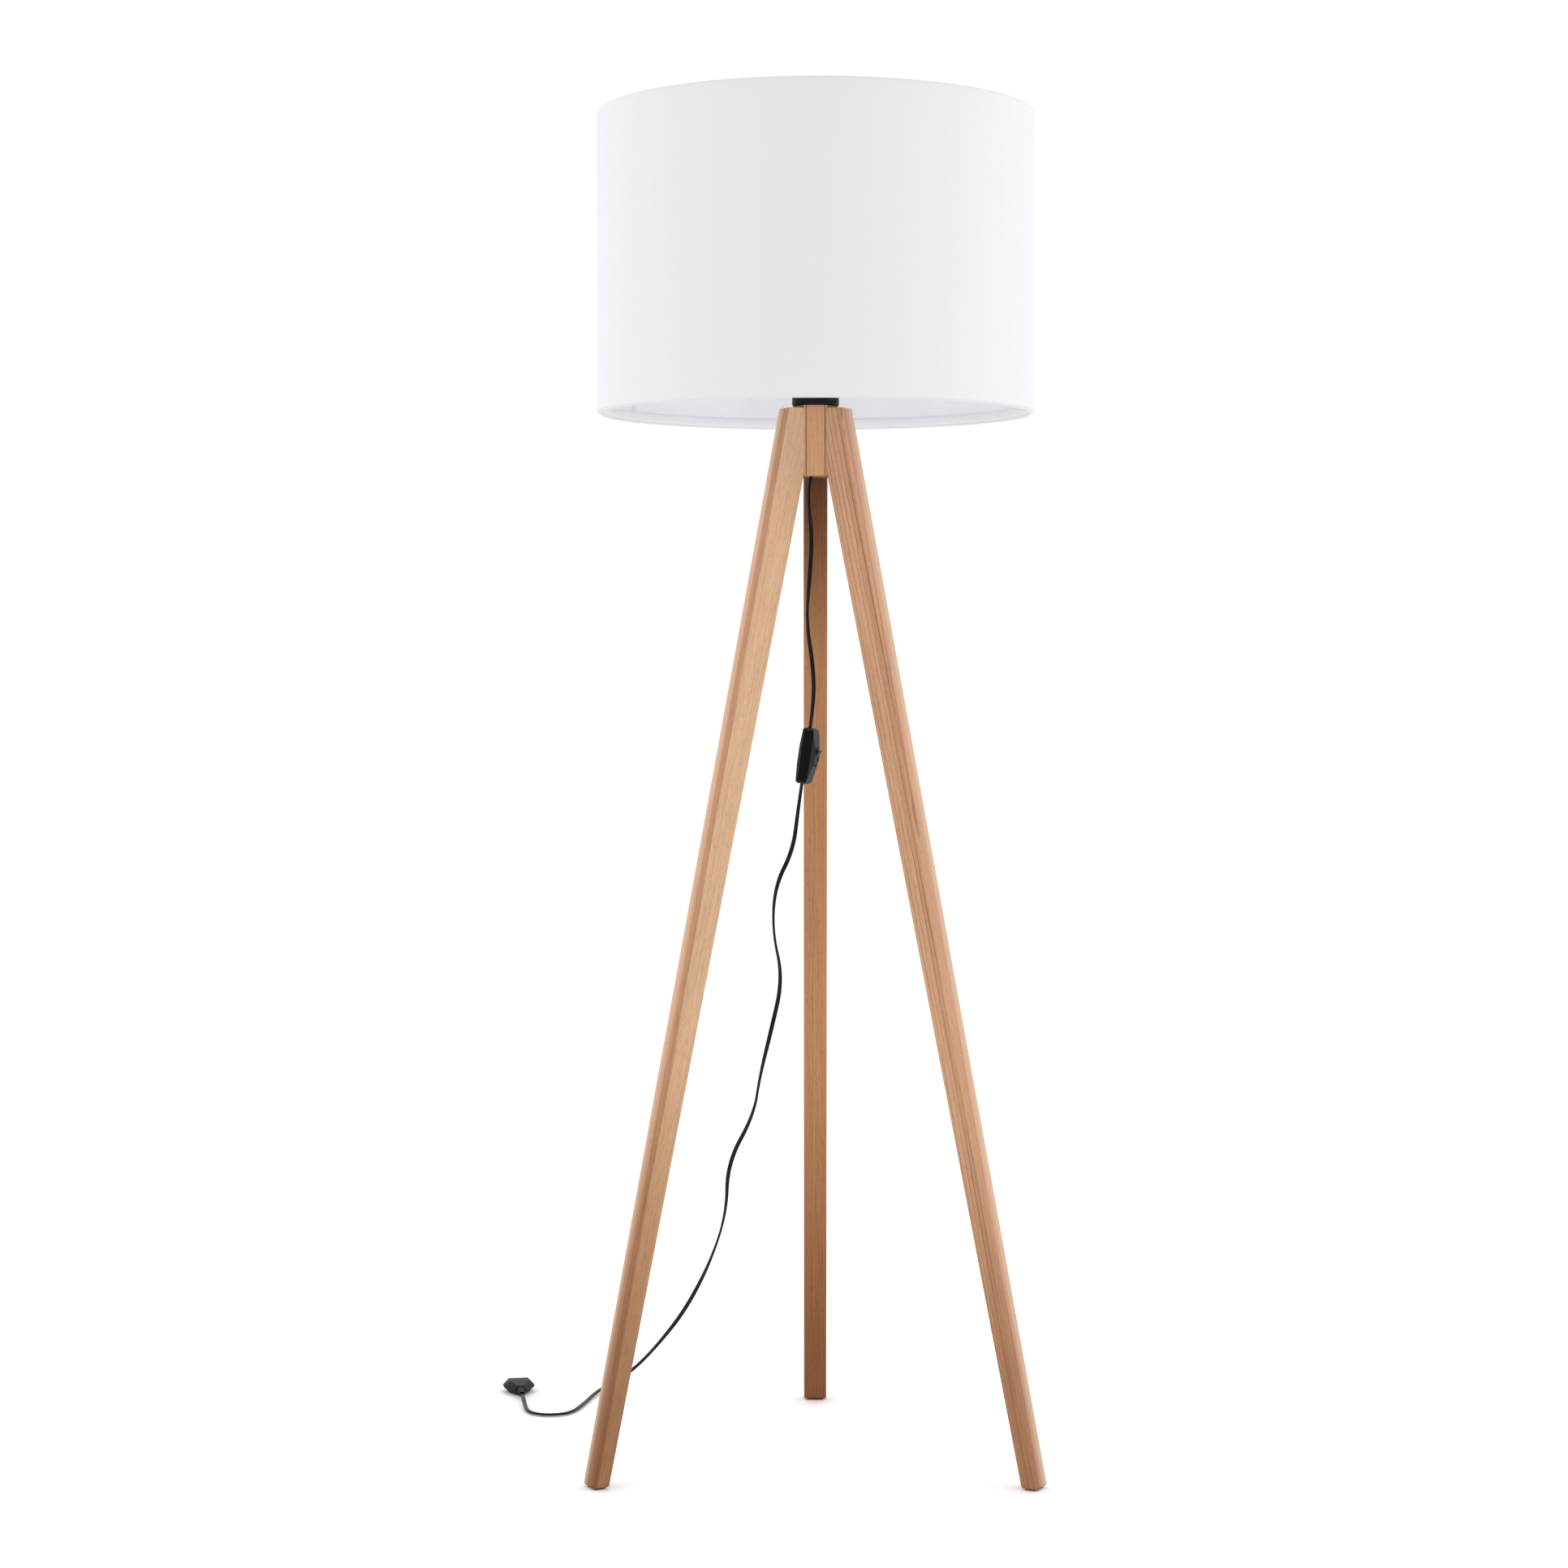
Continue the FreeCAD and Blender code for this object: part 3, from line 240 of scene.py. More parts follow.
def flex_outline():
    """Two round cores side by side, with a groove between them."""
    offset = FLEX_WIDTH / 2 - FLEX_CORE
    half = [
        (offset + FLEX_CORE * math.cos(angle), FLEX_CORE * math.sin(angle))
        for angle in map(math.radians, range(-FLEX_GROOVE, FLEX_GROOVE + 1, 15))
    ]
    return half + [(-x, -y) for x, y in half]


def add_flex(name, points, twist, solid):
    """A length of flex that stands for a CAD node, which it hides."""
    line = smooth_line([Vector(point) + LAMP_AXIS for point in points])
    flex = swept(name, line, flex_outline(), twist)
    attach(flex, LAMP_BODY)
    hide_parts(solid)
    return flex


flexes = [
    add_flex("flex_to_switch", FLEX_UPPER, TWIST_UPPER, "flex_upper"),
    add_flex("flex_to_plug", FLEX_LOWER, TWIST_LOWER, "flex_lower"),
]


# ---- short ways to build materials ----

class Nodes:
    """A node tree that is added to. A value that is the same all over is set on its socket."""

    def __init__(self, tree):
        self.tree = tree

    def feed(self, node, values):
        for name, value in values.items():
            socket = node.inputs[name]
            if isinstance(value, bpy.types.NodeSocket):
                self.tree.links.new(value, socket)
            elif socket.type == "RGBA":
                socket.default_value = (*value, 1.0)
            else:
                socket.default_value = value

    def node(self, kind, values=None, **settings):
        made = self.tree.nodes.new("ShaderNode" + kind)
        for setting, value in settings.items():
            setattr(made, setting, value)
        self.feed(made, values or {})
        return made

    def maths(self, operation, *values):
        return self.node("Math", dict(enumerate(values)), operation=operation).outputs[0]

    def vector(self, operation, *values):
        made = self.node("VectorMath", dict(enumerate(values)), operation=operation)
        return made.outputs["Value" if operation in ("DOT_PRODUCT", "LENGTH") else "Vector"]

    def dot(self, value, direction):
        return self.vector("DOT_PRODUCT", value, tuple(direction))

    def combined(self, x, y, z):
        return self.node("CombineXYZ", {0: x, 1: y, 2: z}).outputs[0]

    def parts(self, value):
        return self.node("SeparateXYZ", {0: value}).outputs

    def noise(self, where, scale, detail=2.0, rough=0.5):
        values = {"Vector": where, "Scale": scale, "Detail": detail, "Roughness": rough}
        return self.node("TexNoise", values).outputs["Fac"]

    def cells(self, where, scale):
        return self.node("TexVoronoi", {"Vector": where, "Scale": scale}).outputs["Distance"]

    def spread(self, value, low, high, to_low=0.0, to_high=1.0, smooth=True):
        """The value taken from low..high to to_low..to_high, held at the ends."""
        values = {0: value, 1: low, 2: high, 3: to_low, 4: to_high}
        shape = "SMOOTHSTEP" if smooth else "LINEAR"
        return self.node("MapRange", values, interpolation_type=shape).outputs[0]

    def ramp(self, value, stops):
        """The grey at the value, from (value, grey) stops."""
        made = self.node("ValToRGB", {0: value})
        line = made.color_ramp
        line.elements.remove(line.elements[0])
        for index, (place, shade) in enumerate(stops):
            stop = line.elements[0] if index == 0 else line.elements.new(place)
            stop.position = place
            stop.color = (shade, shade, shade, 1.0)
        return made.outputs["Color"]

    def mixed(self, share, first, second, way="MIX"):
        values = {0: share, 6: first, 7: second}
        return self.node("Mix", values, data_type="RGBA", blend_type=way).outputs[2]

    def toned(self, colour, tone, green=1.0, blue=1.0):
        """The colour times the tone. Powers above 1 make what is darker warmer as well."""
        tint = [tone if power == 1.0 else self.maths("POWER", tone, power)
                for power in (1.0, green, blue)]
        return self.mixed(1.0, colour, self.combined(*tint), "MULTIPLY")


class Look(Nodes):
    """A material, made of one shader with the given values on its sockets."""

    def __init__(self, name, sockets):
        self.material = bpy.data.materials.new(name)
        self.material.use_nodes = True
        super().__init__(self.material.node_tree)
        self.shader = self.tree.nodes["Principled BSDF"]
        self.feed(self.shader, sockets)

    def place(self):
        """Where a point of the piece is, in the frame's axes at rest."""
        return self.node("TexCoord").outputs["Object"]

    def height(self):
        return self.parts(self.place())[2]

    def from_axis(self):
        """Where a point is from the foot of the lamp's axis."""
        return self.vector("SUBTRACT", self.place(), tuple(LAMP_AXIS))

    def normal(self, kind="Normal"):
        return self.node("NewGeometry").outputs[kind]

    def bump(self, height, depth, strength=1.0):
        """Raises the surface by the height times the depth in metres, on top of earlier bumps."""
        values = {"Height": height, "Distance": depth, "Strength": strength}
        earlier = self.shader.inputs["Normal"].links
        if earlier:
            values["Normal"] = earlier[0].from_socket
        self.feed(self.shader, {"Normal": self.node("Bump", values).outputs[0]})

    def colour(self, value):
        self.feed(self.shader, {"Base Color": value})

    def roughness(self, value):
        self.feed(self.shader, {"Roughness": value})


# ---- the woods ----

RING_WANDER = 10 * MM  # how far the year rings stray along the grain
RING_SHIVER = 1.6 * MM  # and how far they tremble
LATE_WOOD = [  # how dark a year ring is, from its inner to its outer side
    (0.0, 0.0), (0.45, 0.08), (0.76, 0.36), (0.90, 1.0), (0.96, 0.7), (1.0, 0.0),
]
LEG_END = 0.1  # the share of a leg's height that its end's middle is taken from
STREAK_DRIFT = 4 * MM
STREAK_LEAN = 0.005  # how far the streak moves across the leg for each metre up
# Painted shade on each leg's outer face, which is darker than its other faces.
OUTER_FACE_SHADE = (0.93, 0.86, 0.84)
# The colour of the painted sheen towards the far edge of a leg's outer face.
PAINTED_SHEEN = (0.67, 0.475, 0.340)
JOINT_SHADOW = (0.075, 0.034, 0.018)
NO_JOINT = 50 * MM  # a gap far wider than any joint line


def side_frame(along, across):
    """Three directions at right angles: along, across made square to it, and sideways."""
    along = along.normalized()
    across = (across - along * across.dot(along)).normalized()
    return along, across, along.cross(across)


def wood(name, along, across, centre, pith, ring, light, dark, contrast):
    """Oiled straight-grained wood, as a look that marks can be added to, with its colour so far.
    The year rings are cylinders round the pith, which lies outside the piece, nearly along it,
    so that its faces and its ends show the same rings.

    pith is its place across and sideways, in metres, and ring is a ring's width."""
    look = Look(name, {"Specular IOR Level": 0.12})
    along, across, sideways = side_frame(along, across)
    local = look.vector("SUBTRACT", look.place(), tuple(centre))
    x, y, z = [look.dot(local, direction) for direction in (across, sideways, along)]

    def stretched(share):
        """A place for noise that is drawn out along the grain, the more the less the share."""
        return look.combined(x, y, look.maths("MULTIPLY", z, share))

    wander = look.maths("SUBTRACT", look.noise(stretched(0.05), 28.0, 3.0), 0.5)
    shiver = look.maths("SUBTRACT", look.noise(stretched(0.12), 210.0), 0.5)
    from_pith = look.vector("LENGTH", look.combined(
        look.maths("SUBTRACT", x, pith[0]), look.maths("SUBTRACT", y, pith[1]), 0.0))
    bent = look.maths("MULTIPLY_ADD", wander, RING_WANDER, from_pith)
    bent = look.maths("MULTIPLY_ADD", shiver, RING_SHIVER, bent)
    uneven = look.noise(look.combined(bent, 0.0, 0.0), 160.0, 1.0)
    rings = look.maths("MULTIPLY_ADD", uneven, 1.5, look.maths("DIVIDE", bent, ring))
    late = look.ramp(look.maths("FRACT", rings), LATE_WOOD)
    patchy = look.noise(stretched(0.12), 60.0)
    late = look.maths("MULTIPLY", late, look.spread(patchy, 0.25, 0.7, 0.4, 1.0))

    fibres = look.noise(stretched(0.012), 1500.0, 3.0, 0.6)
    threads = look.noise(stretched(0.02), 520.0)
    pores = look.spread(look.noise(stretched(0.05), 2300.0, 1.0), 0.60, 0.70)
    broad = look.noise(stretched(0.3), 9.0)

    colour = look.mixed(look.maths("MULTIPLY", late, contrast), light, dark)
    for value, least, most in ((fibres, 0.84, 1.12), (threads, 0.93, 1.06), (broad, 0.90, 1.08)):
        tone = look.spread(value, 0.25, 0.75, least, most, smooth=False)
        colour = look.toned(colour, tone)
    colour = look.mixed(look.maths("MULTIPLY", pores, 0.4), colour,
                        tuple(0.45 * shade for shade in dark))
    look.roughness(look.spread(fibres, 0.2, 0.8, 0.46, 0.64, smooth=False))
    look.bump(late, 0.05 * MM, 0.5)
    look.bump(look.maths("SUBTRACT", fibres, pores), 0.06 * MM, 0.6)
    look.colour(colour)
    return look, colour


def streaked(look, colour, distance, band, tint):
    """A darker band that keeps its distance, in metres, from a face of the piece."""
    drift = look.noise(look.vector("MULTIPLY", look.place(), (1.0, 1.0, 0.35)), 9.0)
    edge = look.maths("MULTIPLY_ADD", look.maths("SUBTRACT", drift, 0.5), STREAK_DRIFT, distance)
    start, full, fading, end = band
    rise = look.spread(edge, start, full)
    fall = look.spread(edge, fading, end, 1.0, 0.0)
    return look.mixed(look.maths("MULTIPLY", rise, fall), colour, tint, "MULTIPLY")


def joint_line(look, colour, gap, width):
    """A fine dark line where the gap to another piece's face, in metres, is nothing. The joints
    run down upright faces only."""
    near = look.spread(look.maths("ABSOLUTE", gap), width * 0.3, width, 0.8, 0.0)
    tilt = look.dot(look.normal("True Normal"), (0.0, 0.0, 1.0))
    upright = look.spread(look.maths("ABSOLUTE", tilt), 0.35, 0.5, 1.0, 0.0)
    return look.mixed(look.maths("MULTIPLY", near, upright), colour, JOINT_SHADOW)


def leg_lie(name):
    """A leg's direction from its foot up, its middle, and its outer face as a point and normal."""
    outward = compass(LEG_AZIMUTHS[name])
    level = outward.cross(Vector((0, 0, 1)))
    corners = [vertex.co for vertex in nodes[name].data.vertices]
    low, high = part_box(name)
    reach = LEG_END * (high.z - low.z)
    ends, edges = [], []
    for end in (low.z, high.z):
        near = [corner for corner in corners if abs(corner.z - end) < reach]
        ends.append(sum(near, Vector()) / len(near))
        edges.append(max(near, key=lambda corner: corner.dot(outward)))
    rise = edges[1] - edges[0]
    rise -= rise.dot(level) * level
    normal = (outward - rise.normalized() * outward.dot(rise.normalized())).normalized()
    return ends[1] - ends[0], (ends[0] + ends[1]) / 2, edges[0], normal


def leg_wood(name, foot, front=None, streak=None, pale=None, shaded=None, **grain):
    """A leg's wood, with wood()'s own values as its grain. foot is the tone of painted shade at
    the floor and how far up it reaches, and shaded is where a painted shadow close under the hub
    starts and is full, and its tone.

    front is the side, -1 or 1, of the outer face that its front edge is on. From there a darker
    streak is a band and its tint, with what is less than nothing on the outer face, and pale is
    where a painted sheen, a paler strip towards that face's other edge, starts and is full, and
    how full."""
    along, middle, on_face, normal = leg_lie(name)
    azimuth = LEG_AZIMUTHS[name]
    look, colour = wood("wood_" + name, along, compass(azimuth), middle, **grain)
    depth = look.dot(look.vector("SUBTRACT", tuple(on_face), look.place()), normal)
    from_axis = look.from_axis()
    height = look.height()
    # Painted shade: the leg's outer face is painted darker than its other faces.
    face = look.spread(depth, 0.1 * MM, 0.8 * MM, 1.0, 0.0)
    colour = look.mixed(face, colour, look.mixed(1.0, colour, OUTER_FACE_SHADE, "MULTIPLY"))
    if front:
        off = look.maths("SUBTRACT", look.dot(from_axis, compass(azimuth + 90 * front)), LEG_HALF)
        unfolded = look.maths("ADD", depth, off)
        above = look.maths("SUBTRACT", height, HUB_MIDDLE.z / 2)
        lean = look.maths("MULTIPLY", above, STREAK_LEAN)
        colour = streaked(look, colour, look.maths("ADD", unfolded, lean), *streak)
    # Painted shade: the leg is painted darker and warmer towards the floor.
    foot_shade, reach = foot
    colour = look.toned(colour, look.spread(height, 0.0, reach, foot_shade, 1.0), 1.35, 1.7)
    if front:
        # A painted sheen: the outer face is painted paler towards its far edge.
        start, full, share = pale
        strip = look.maths("MULTIPLY", face, look.spread(unfolded, full, start, share, 0.0))
        colour = look.mixed(strip, colour, PAINTED_SHEEN)
    # A painted shadow close under the hub.
    if shaded:
        start, full, tone = shaded
        colour = look.toned(colour, look.spread(height, start, full, 1.0, tone), 1.15, 1.35)
    # The joints' lines show only beside the hub, and away from the leg's outer face.
    away = look.maths("ADD", look.spread(height, HUB_LOW.z - 2 * MM, HUB_LOW.z, 1.0, 0.0),
                      look.spread(depth, 4 * MM, 8 * MM, 1.0, 0.0))
    for side in (-60, 60):
        gap = look.maths("SUBTRACT", look.dot(from_axis, compass(azimuth + side)), HUB_FACE)
        gap = look.maths("MULTIPLY_ADD", away, NO_JOINT, look.maths("ABSOLUTE", gap))
        colour = joint_line(look, colour, gap, 0.5 * MM)
    look.colour(colour)
    return look.material


def hub_wood():
    """The hub's wood, with dark lines along the legs' side faces, and painted shade along its
    lower edge.
    """
    look, colour = wood(
        "wood_hub", Vector((0, 0, 1)), Vector((1, 0, 0)), HUB_MIDDLE, pith=(0.09, 0.02),
        ring=2.4 * MM, light=(0.55, 0.300, 0.158), dark=(0.39, 0.195, 0.092), contrast=0.6)
    from_axis = look.from_axis()
    for azimuth in LEG_AZIMUTHS.values():
        off = look.maths("ABSOLUTE", look.dot(from_axis, compass(azimuth + 90)))
        colour = joint_line(look, colour, look.maths("SUBTRACT", off, LEG_HALF), 0.35 * MM)
    # Painted shade: the hub's lowest 0.4 mm is painted darker.
    under = look.spread(look.height(), HUB_LOW.z, HUB_LOW.z + 0.4 * MM, 0.35, 1.0)
    look.colour(look.toned(colour, under))
    return look.material


def dowel_wood():
    look, _ = wood(
        "wood_dowels", Vector((1, 0, 0)), Vector((0, 1, 0)), HUB_MIDDLE, pith=(0.05, 0.03),
        ring=1.8 * MM, light=(0.70, 0.53, 0.36), dark=(0.58, 0.40, 0.25), contrast=0.5)
    return look.material


# ---- the other materials ----

BLACK = (0.0055, 0.0055, 0.006)


def moulded(name, colour, roughness, grain, level=0.5):
    """Moulded plastic with a fine spark-eroded texture of the given grain, in millimetres."""
    look = Look(name, {"Specular IOR Level": level})
    fine = look.noise(look.place(), 1 / (grain * MM), 2.0, 0.6)
    cloud = look.noise(look.place(), 45.0)
    look.colour(look.toned(colour, look.spread(cloud, 0.3, 0.7, 0.88, 1.12, smooth=False)))
    look.roughness(look.spread(fine, 0.3, 0.7, roughness - 0.06, roughness + 0.08))
    look.bump(fine, 0.03 * MM, 0.5)
    return look.material


def switch_case(name):
    """The switch's satin plastic, with a fine grain all over; all but its flat side faces are
    painted lighter, a painted highlight.
    """
    look = Look(name, {"Specular IOR Level": 0.05})
    hinge = next(joint["axis"] for joint in frame["record"]["behaviour"]["joints"]
                 if joint["name"] == "rocker_tilt")
    sideways = look.maths("ABSOLUTE", look.dot(look.normal(), hinge))
    # Painted highlight: the faces that are not the flat sides are painted lighter.
    painted_highlight = look.spread(sideways, 0.86, 0.94, 1.0, 0.0)
    fine = look.noise(look.place(), 2800.0, 2.0, 0.6)
    look.colour(look.mixed(painted_highlight, BLACK, (0.030, 0.030, 0.034)))
    look.roughness(look.spread(fine, 0.3, 0.7, 0.42, 0.56))
    look.bump(fine, 0.03 * MM, 0.5)
    return look.material


def metal(name, colour, roughness, stretch=(1.0, 1.0, 1.0)):
    """Bare or plated metal with fine marks, drawn out along an axis whose stretch is below 1."""
    look = Look(name, {"Metallic": 1.0})
    marks = look.noise(look.vector("MULTIPLY", look.place(), stretch), 1800.0, 3.0, 0.6)
    stains = look.noise(look.place(), 120.0, 3.0)
    dull = tuple(0.72 * shade for shade in colour)
    look.colour(look.mixed(look.spread(stains, 0.45, 0.75, 0.0, 0.5), colour, dull))
    look.roughness(look.spread(marks, 0.3, 0.7, roughness - 0.08, roughness + 0.12))
    look.bump(marks, 0.01 * MM, 0.4)
    return look.material


def painted_wire(name):
    """White powder coat, with the orange-peel skin that it has on wire."""
    look = Look(name, {"Specular IOR Level": 0.5, "Coat Weight": 0.3, "Coat Roughness": 0.12})
    peel = look.noise(look.place(), 900.0, 1.0)
    look.colour(look.mixed(look.spread(peel, 0.3, 0.7), (0.74, 0.74, 0.73), (0.79, 0.79, 0.78)))
    look.roughness(look.spread(peel, 0.3, 0.7, 0.24, 0.34))
    look.bump(peel, 0.05 * MM, 0.5)
    return look.material


def drum_place(look):
    """Where a point of the shade is: round the drum, and up."""
    x, y, z = look.parts(look.from_axis())
    return look.maths("MULTIPLY", look.maths("ARCTAN2", y, x), SHADE_RADIUS), z


def shade_cloth(name):
    """Fine plain-woven white cotton on a stiff backing: close threads and a few soft slubs.
    Painted light makes it lighter where it faces the lamp's axis, and painted shade dims it where
    the edges turn under."""
    look = Look(name, {
        "Specular IOR Level": 0.08, "Sheen Weight": 0.08, "Sheen Roughness": 0.5,
        "Roughness": 0.9,
    })
    around, up = drum_place(look)
    wall = look.combined(around, up, 0.0)
    pitch = TURN / (0.8 * MM)
    warp = look.maths("SINE", look.maths("MULTIPLY", around, pitch))
    weft = look.maths("SINE", look.maths("MULTIPLY", up, pitch))
    weave = look.maths("MULTIPLY", warp, weft)
    upright = look.noise(look.vector("MULTIPLY", wall, (1.0, 0.03, 1.0)), 420.0, 3.0)
    level = look.noise(look.vector("MULTIPLY", wall, (0.03, 1.0, 1.0)), 420.0, 3.0)
    slubs = look.maths("MAXIMUM", upright, level)
    bands = look.noise(look.vector("MULTIPLY", wall, (1.0, 0.1, 1.0)), 9.0)
    share = look.spread(slubs, 0.45, 0.8, 0.0, 0.25)
    share = look.maths("MULTIPLY_ADD", look.spread(bands, 0.3, 0.7), 0.5, share)
    colour = look.mixed(share, (0.735, 0.729, 0.757), (0.715, 0.708, 0.740))
    colour = look.mixed(look.spread(weave, -1.0, 1.0, 0.05, 0.0), colour, (0.5, 0.5, 0.53))
    outward = look.vector("NORMALIZE", look.vector("MULTIPLY", look.from_axis(), (1.0, 1.0, 0.0)))
    normal = look.normal()
    facing = look.vector("DOT_PRODUCT", normal, outward)
    # Painted light: cloth facing the lamp's axis is painted lighter than the same cloth facing
    # out.
    colour = look.mixed(look.spread(facing, -0.3, 0.5, 1.0, 0.0), colour, (0.90, 0.895, 0.92))
    # Painted shade: faces turned down at the rolled edges are painted darker, the more so inside.
    least = look.spread(facing, -0.4, 0.4, 0.78, 0.90)
    under = look.spread(look.dot(normal, (0.0, 0.0, 1.0)), -0.80, 0.0, least, 1.0)
    look.colour(look.toned(colour, under))
    look.bump(weave, 0.03 * MM, 0.4)
    look.bump(slubs, 0.04 * MM, 0.4)
    return look.material


def shade_lining(name, light, shadow):
    """The smooth white sheet inside the fabric, faintly rippled."""
    look = Look(name, {"Specular IOR Level": 0.15})
    wall = look.combined(*drum_place(look), 0.0)
    ripple = look.noise(look.vector("MULTIPLY", wall, (1.0, 0.2, 1.0)), 30.0)
    fleck = look.noise(look.place(), 1600.0)
    look.colour(look.mixed(look.spread(ripple, 0.3, 0.7), light, shadow))
    look.roughness(look.spread(fleck, 0.3, 0.7, 0.5, 0.62))
    look.bump(ripple, 0.3 * MM, 0.25)
    return look.material


def felt(name):
    """Dark pressed felt, with tangled hairs."""
    look = Look(name, {"Specular IOR Level": 0.1, "Sheen Weight": 0.4, "Roughness": 0.95})
    hairs = look.noise(look.place(), 2500.0, 4.0, 0.7)
    tangle = look.cells(look.place(), 900.0)
    look.colour(look.mixed(hairs, (0.012, 0.011, 0.010), (0.06, 0.052, 0.045)))
    look.bump(look.maths("ADD", hairs, tangle), 0.25 * MM, 0.8)
    return look.material


def flex_sheath(name):
    """Satin black PVC, very slightly wavy, with dust on it."""
    look = Look(name, {"Specular IOR Level": 0.14})
    dust = look.noise(look.place(), 700.0, 4.0, 0.7)
    wave = look.noise(look.place(), 160.0)
    look.colour(look.mixed(look.spread(dust, 0.55, 0.8, 0.0, 0.25), (0.0035, 0.0035, 0.0038),
                           (0.016, 0.016, 0.016)))
    look.roughness(look.spread(dust, 0.3, 0.7, 0.30, 0.44))
    look.bump(wave, 0.1 * MM, 0.4)
    return look.material


def opal(name):
    """The satin white dome and housing of the bulb."""
    look = Look(name, {"Specular IOR Level": 0.5, "Subsurface Weight": 0.3,
                       "Subsurface Scale": 2 * MM})
    cloud = look.noise(look.place(), 60.0)
    look.colour(look.mixed(look.spread(cloud, 0.3, 0.7), (0.82, 0.82, 0.81), (0.78, 0.78, 0.77)))
    look.roughness(look.spread(look.noise(look.place(), 2200.0, 1.0), 0.3, 0.7, 0.22, 0.32))
    return look.material


def unglazed(name, colour):
    """Bare ceramic, finely pitted."""
    look = Look(name, {"Specular IOR Level": 0.3})
    pits = look.cells(look.place(), 1400.0)
    cloud = look.noise(look.place(), 80.0, 3.0)
    look.colour(look.mixed(cloud, colour, tuple(0.85 * shade for shade in colour)))
    look.roughness(look.spread(pits, 0.0, 0.6, 0.8, 0.55))
    look.bump(pits, 0.04 * MM, 0.5)
    return look.material


# Wooden pieces have a grain of their own.
WOODS = {
    "leg_left": leg_wood(
        "leg_left", pith=(0.16, 0.035), ring=1.9 * MM, light=(0.67, 0.43, 0.268),
        dark=(0.49, 0.27, 0.150), contrast=0.8, foot=(0.47, 0.57), front=1,
        streak=((-13 * MM, -8 * MM, -0.5 * MM, 2.5 * MM), (0.76, 0.67, 0.61)),
        pale=(-12 * MM, -23 * MM, 0.65)),
    "leg_right": leg_wood(
        "leg_right", pith=(0.085, -0.055), ring=4.2 * MM, light=(0.585, 0.335, 0.20),
        dark=(0.27, 0.120, 0.065), contrast=1.0, foot=(0.66, 0.40), front=-1,
        streak=((3.0 * MM, 5.0 * MM, 8.0 * MM, 12.0 * MM), (0.88, 0.83, 0.80)),
        pale=(-2 * MM, -22 * MM, 0.72)),
    "leg_rear": leg_wood(
        "leg_rear", pith=(0.07, 0.12), ring=2.6 * MM, light=(0.45, 0.224, 0.109),
        dark=(0.31, 0.140, 0.063), contrast=0.6, foot=(0.50, 0.45), shaded=(0.77, 1.03, 0.34)),
    "hub_block": hub_wood(),
    "leg_dowels": dowel_wood(),
}

# The other pieces share the look of their material slot: its name, its maker, and values for it.
LOOKS = {name: make(name, *values) for name, make, *values in (
    ("felt", felt),
    ("disc_black", moulded, (0.007, 0.0065, 0.008), 0.42, 0.35, 0.10),
    ("zinc_steel", metal, (0.55, 0.56, 0.57), 0.34),
    ("nylon_black", moulded, BLACK, 0.5, 0.4, 0.14),
    ("holder_plastic", moulded, BLACK, 0.46, 0.5, 0.14),
    ("holder_ceramic", unglazed, (0.78, 0.76, 0.71)),
    ("contact_brass", metal, (0.70, 0.50, 0.22), 0.3, (1.0, 1.0, 0.05)),
    ("wire_white", painted_wire),
    ("shade_fabric", shade_cloth),
    ("shade_liner", shade_lining, (0.875, 0.882, 0.92), (0.855, 0.862, 0.90)),
    ("bulb_nickel", metal, (0.66, 0.64, 0.60), 0.24),
    ("bulb_insulator", moulded, (0.01, 0.01, 0.012), 0.22, 0.8),
    ("bulb_plastic", opal),
    ("board_white", moulded, (0.75, 0.75, 0.73), 0.4, 0.3),
    ("led_yellow", moulded, (0.80, 0.58, 0.10), 0.5, 0.2),
    ("flex_black", flex_sheath),
    ("core_brown", moulded, (0.16, 0.07, 0.03), 0.45, 0.5),
    ("core_blue", moulded, (0.03, 0.08, 0.30), 0.45, 0.5),
    ("switch_plastic", moulded, BLACK, 0.46, 0.35, 0.07),
    ("plug_rubber", moulded, BLACK, 0.48, 0.45, 0.14),
    ("pin_nickel", metal, (0.68, 0.66, 0.62), 0.22),
    ("pin_sleeve", moulded, BLACK, 0.4, 0.4, 0.14),
)}


def finish_nodes():
    """Each CAD node takes the look of its material slot, or its own: the woods, the case of the
    switch with its painted highlight, and the tape on the liner's seam, which is duller than the
    liner."""
    case = switch_case("switch_case")
    tape = shade_lining("seam_tape", (0.80, 0.795, 0.82), (0.77, 0.765, 0.79))
    own = {**WOODS, "switch_base": case, "switch_cover": case, "shade_seam": tape}
    for row in frame["record"]["subparts"]:
        name = row["node"]
        look = own.get(name) or LOOKS[row["material_slot"]]
        mesh = nodes[name].data
        mesh.materials.clear()
        mesh.materials.append(look)


finish_nodes()
for flex in flexes:
    flex.data.materials.append(LOOKS["flex_black"])


# ---- the shade's fabric ----

ROLL = 4.0 * MM
CLOTH = 0.8 * MM
TUCK = 8.0 * MM
TUCK_INSET = 0.8 * MM
TUCK_EDGE = 0.3 * MM
RAGGED, RAGGED_WAVES = 0.5 * MM, 30
SWELL, SWELL_WAVES = 0.25 * MM, 2.2
SEAM_AZIMUTH = math.radians(150)
SEAM_WIDTH = 10.0 * MM
SEAM_RISE = 0.35 * MM
SPOKE_AZIMUTHS = [math.radians(azimuth) for azimuth in LEG_AZIMUTHS.values()]
SLIT_HALF = 2.9 * MM
ROUNDING = 0.05 * MM  # so that a section at an edge of the seam or of a slit counts as in it
DRUM_STEPS = 336
WALL_ROWS = 14
ROLL_STEPS = 12


def apart(azimuth, other):
    """How far round the drum two azimuths are from each other, in metres."""
    return abs((azimuth - other + math.pi) % TURN - math.pi) * SHADE_RADIUS


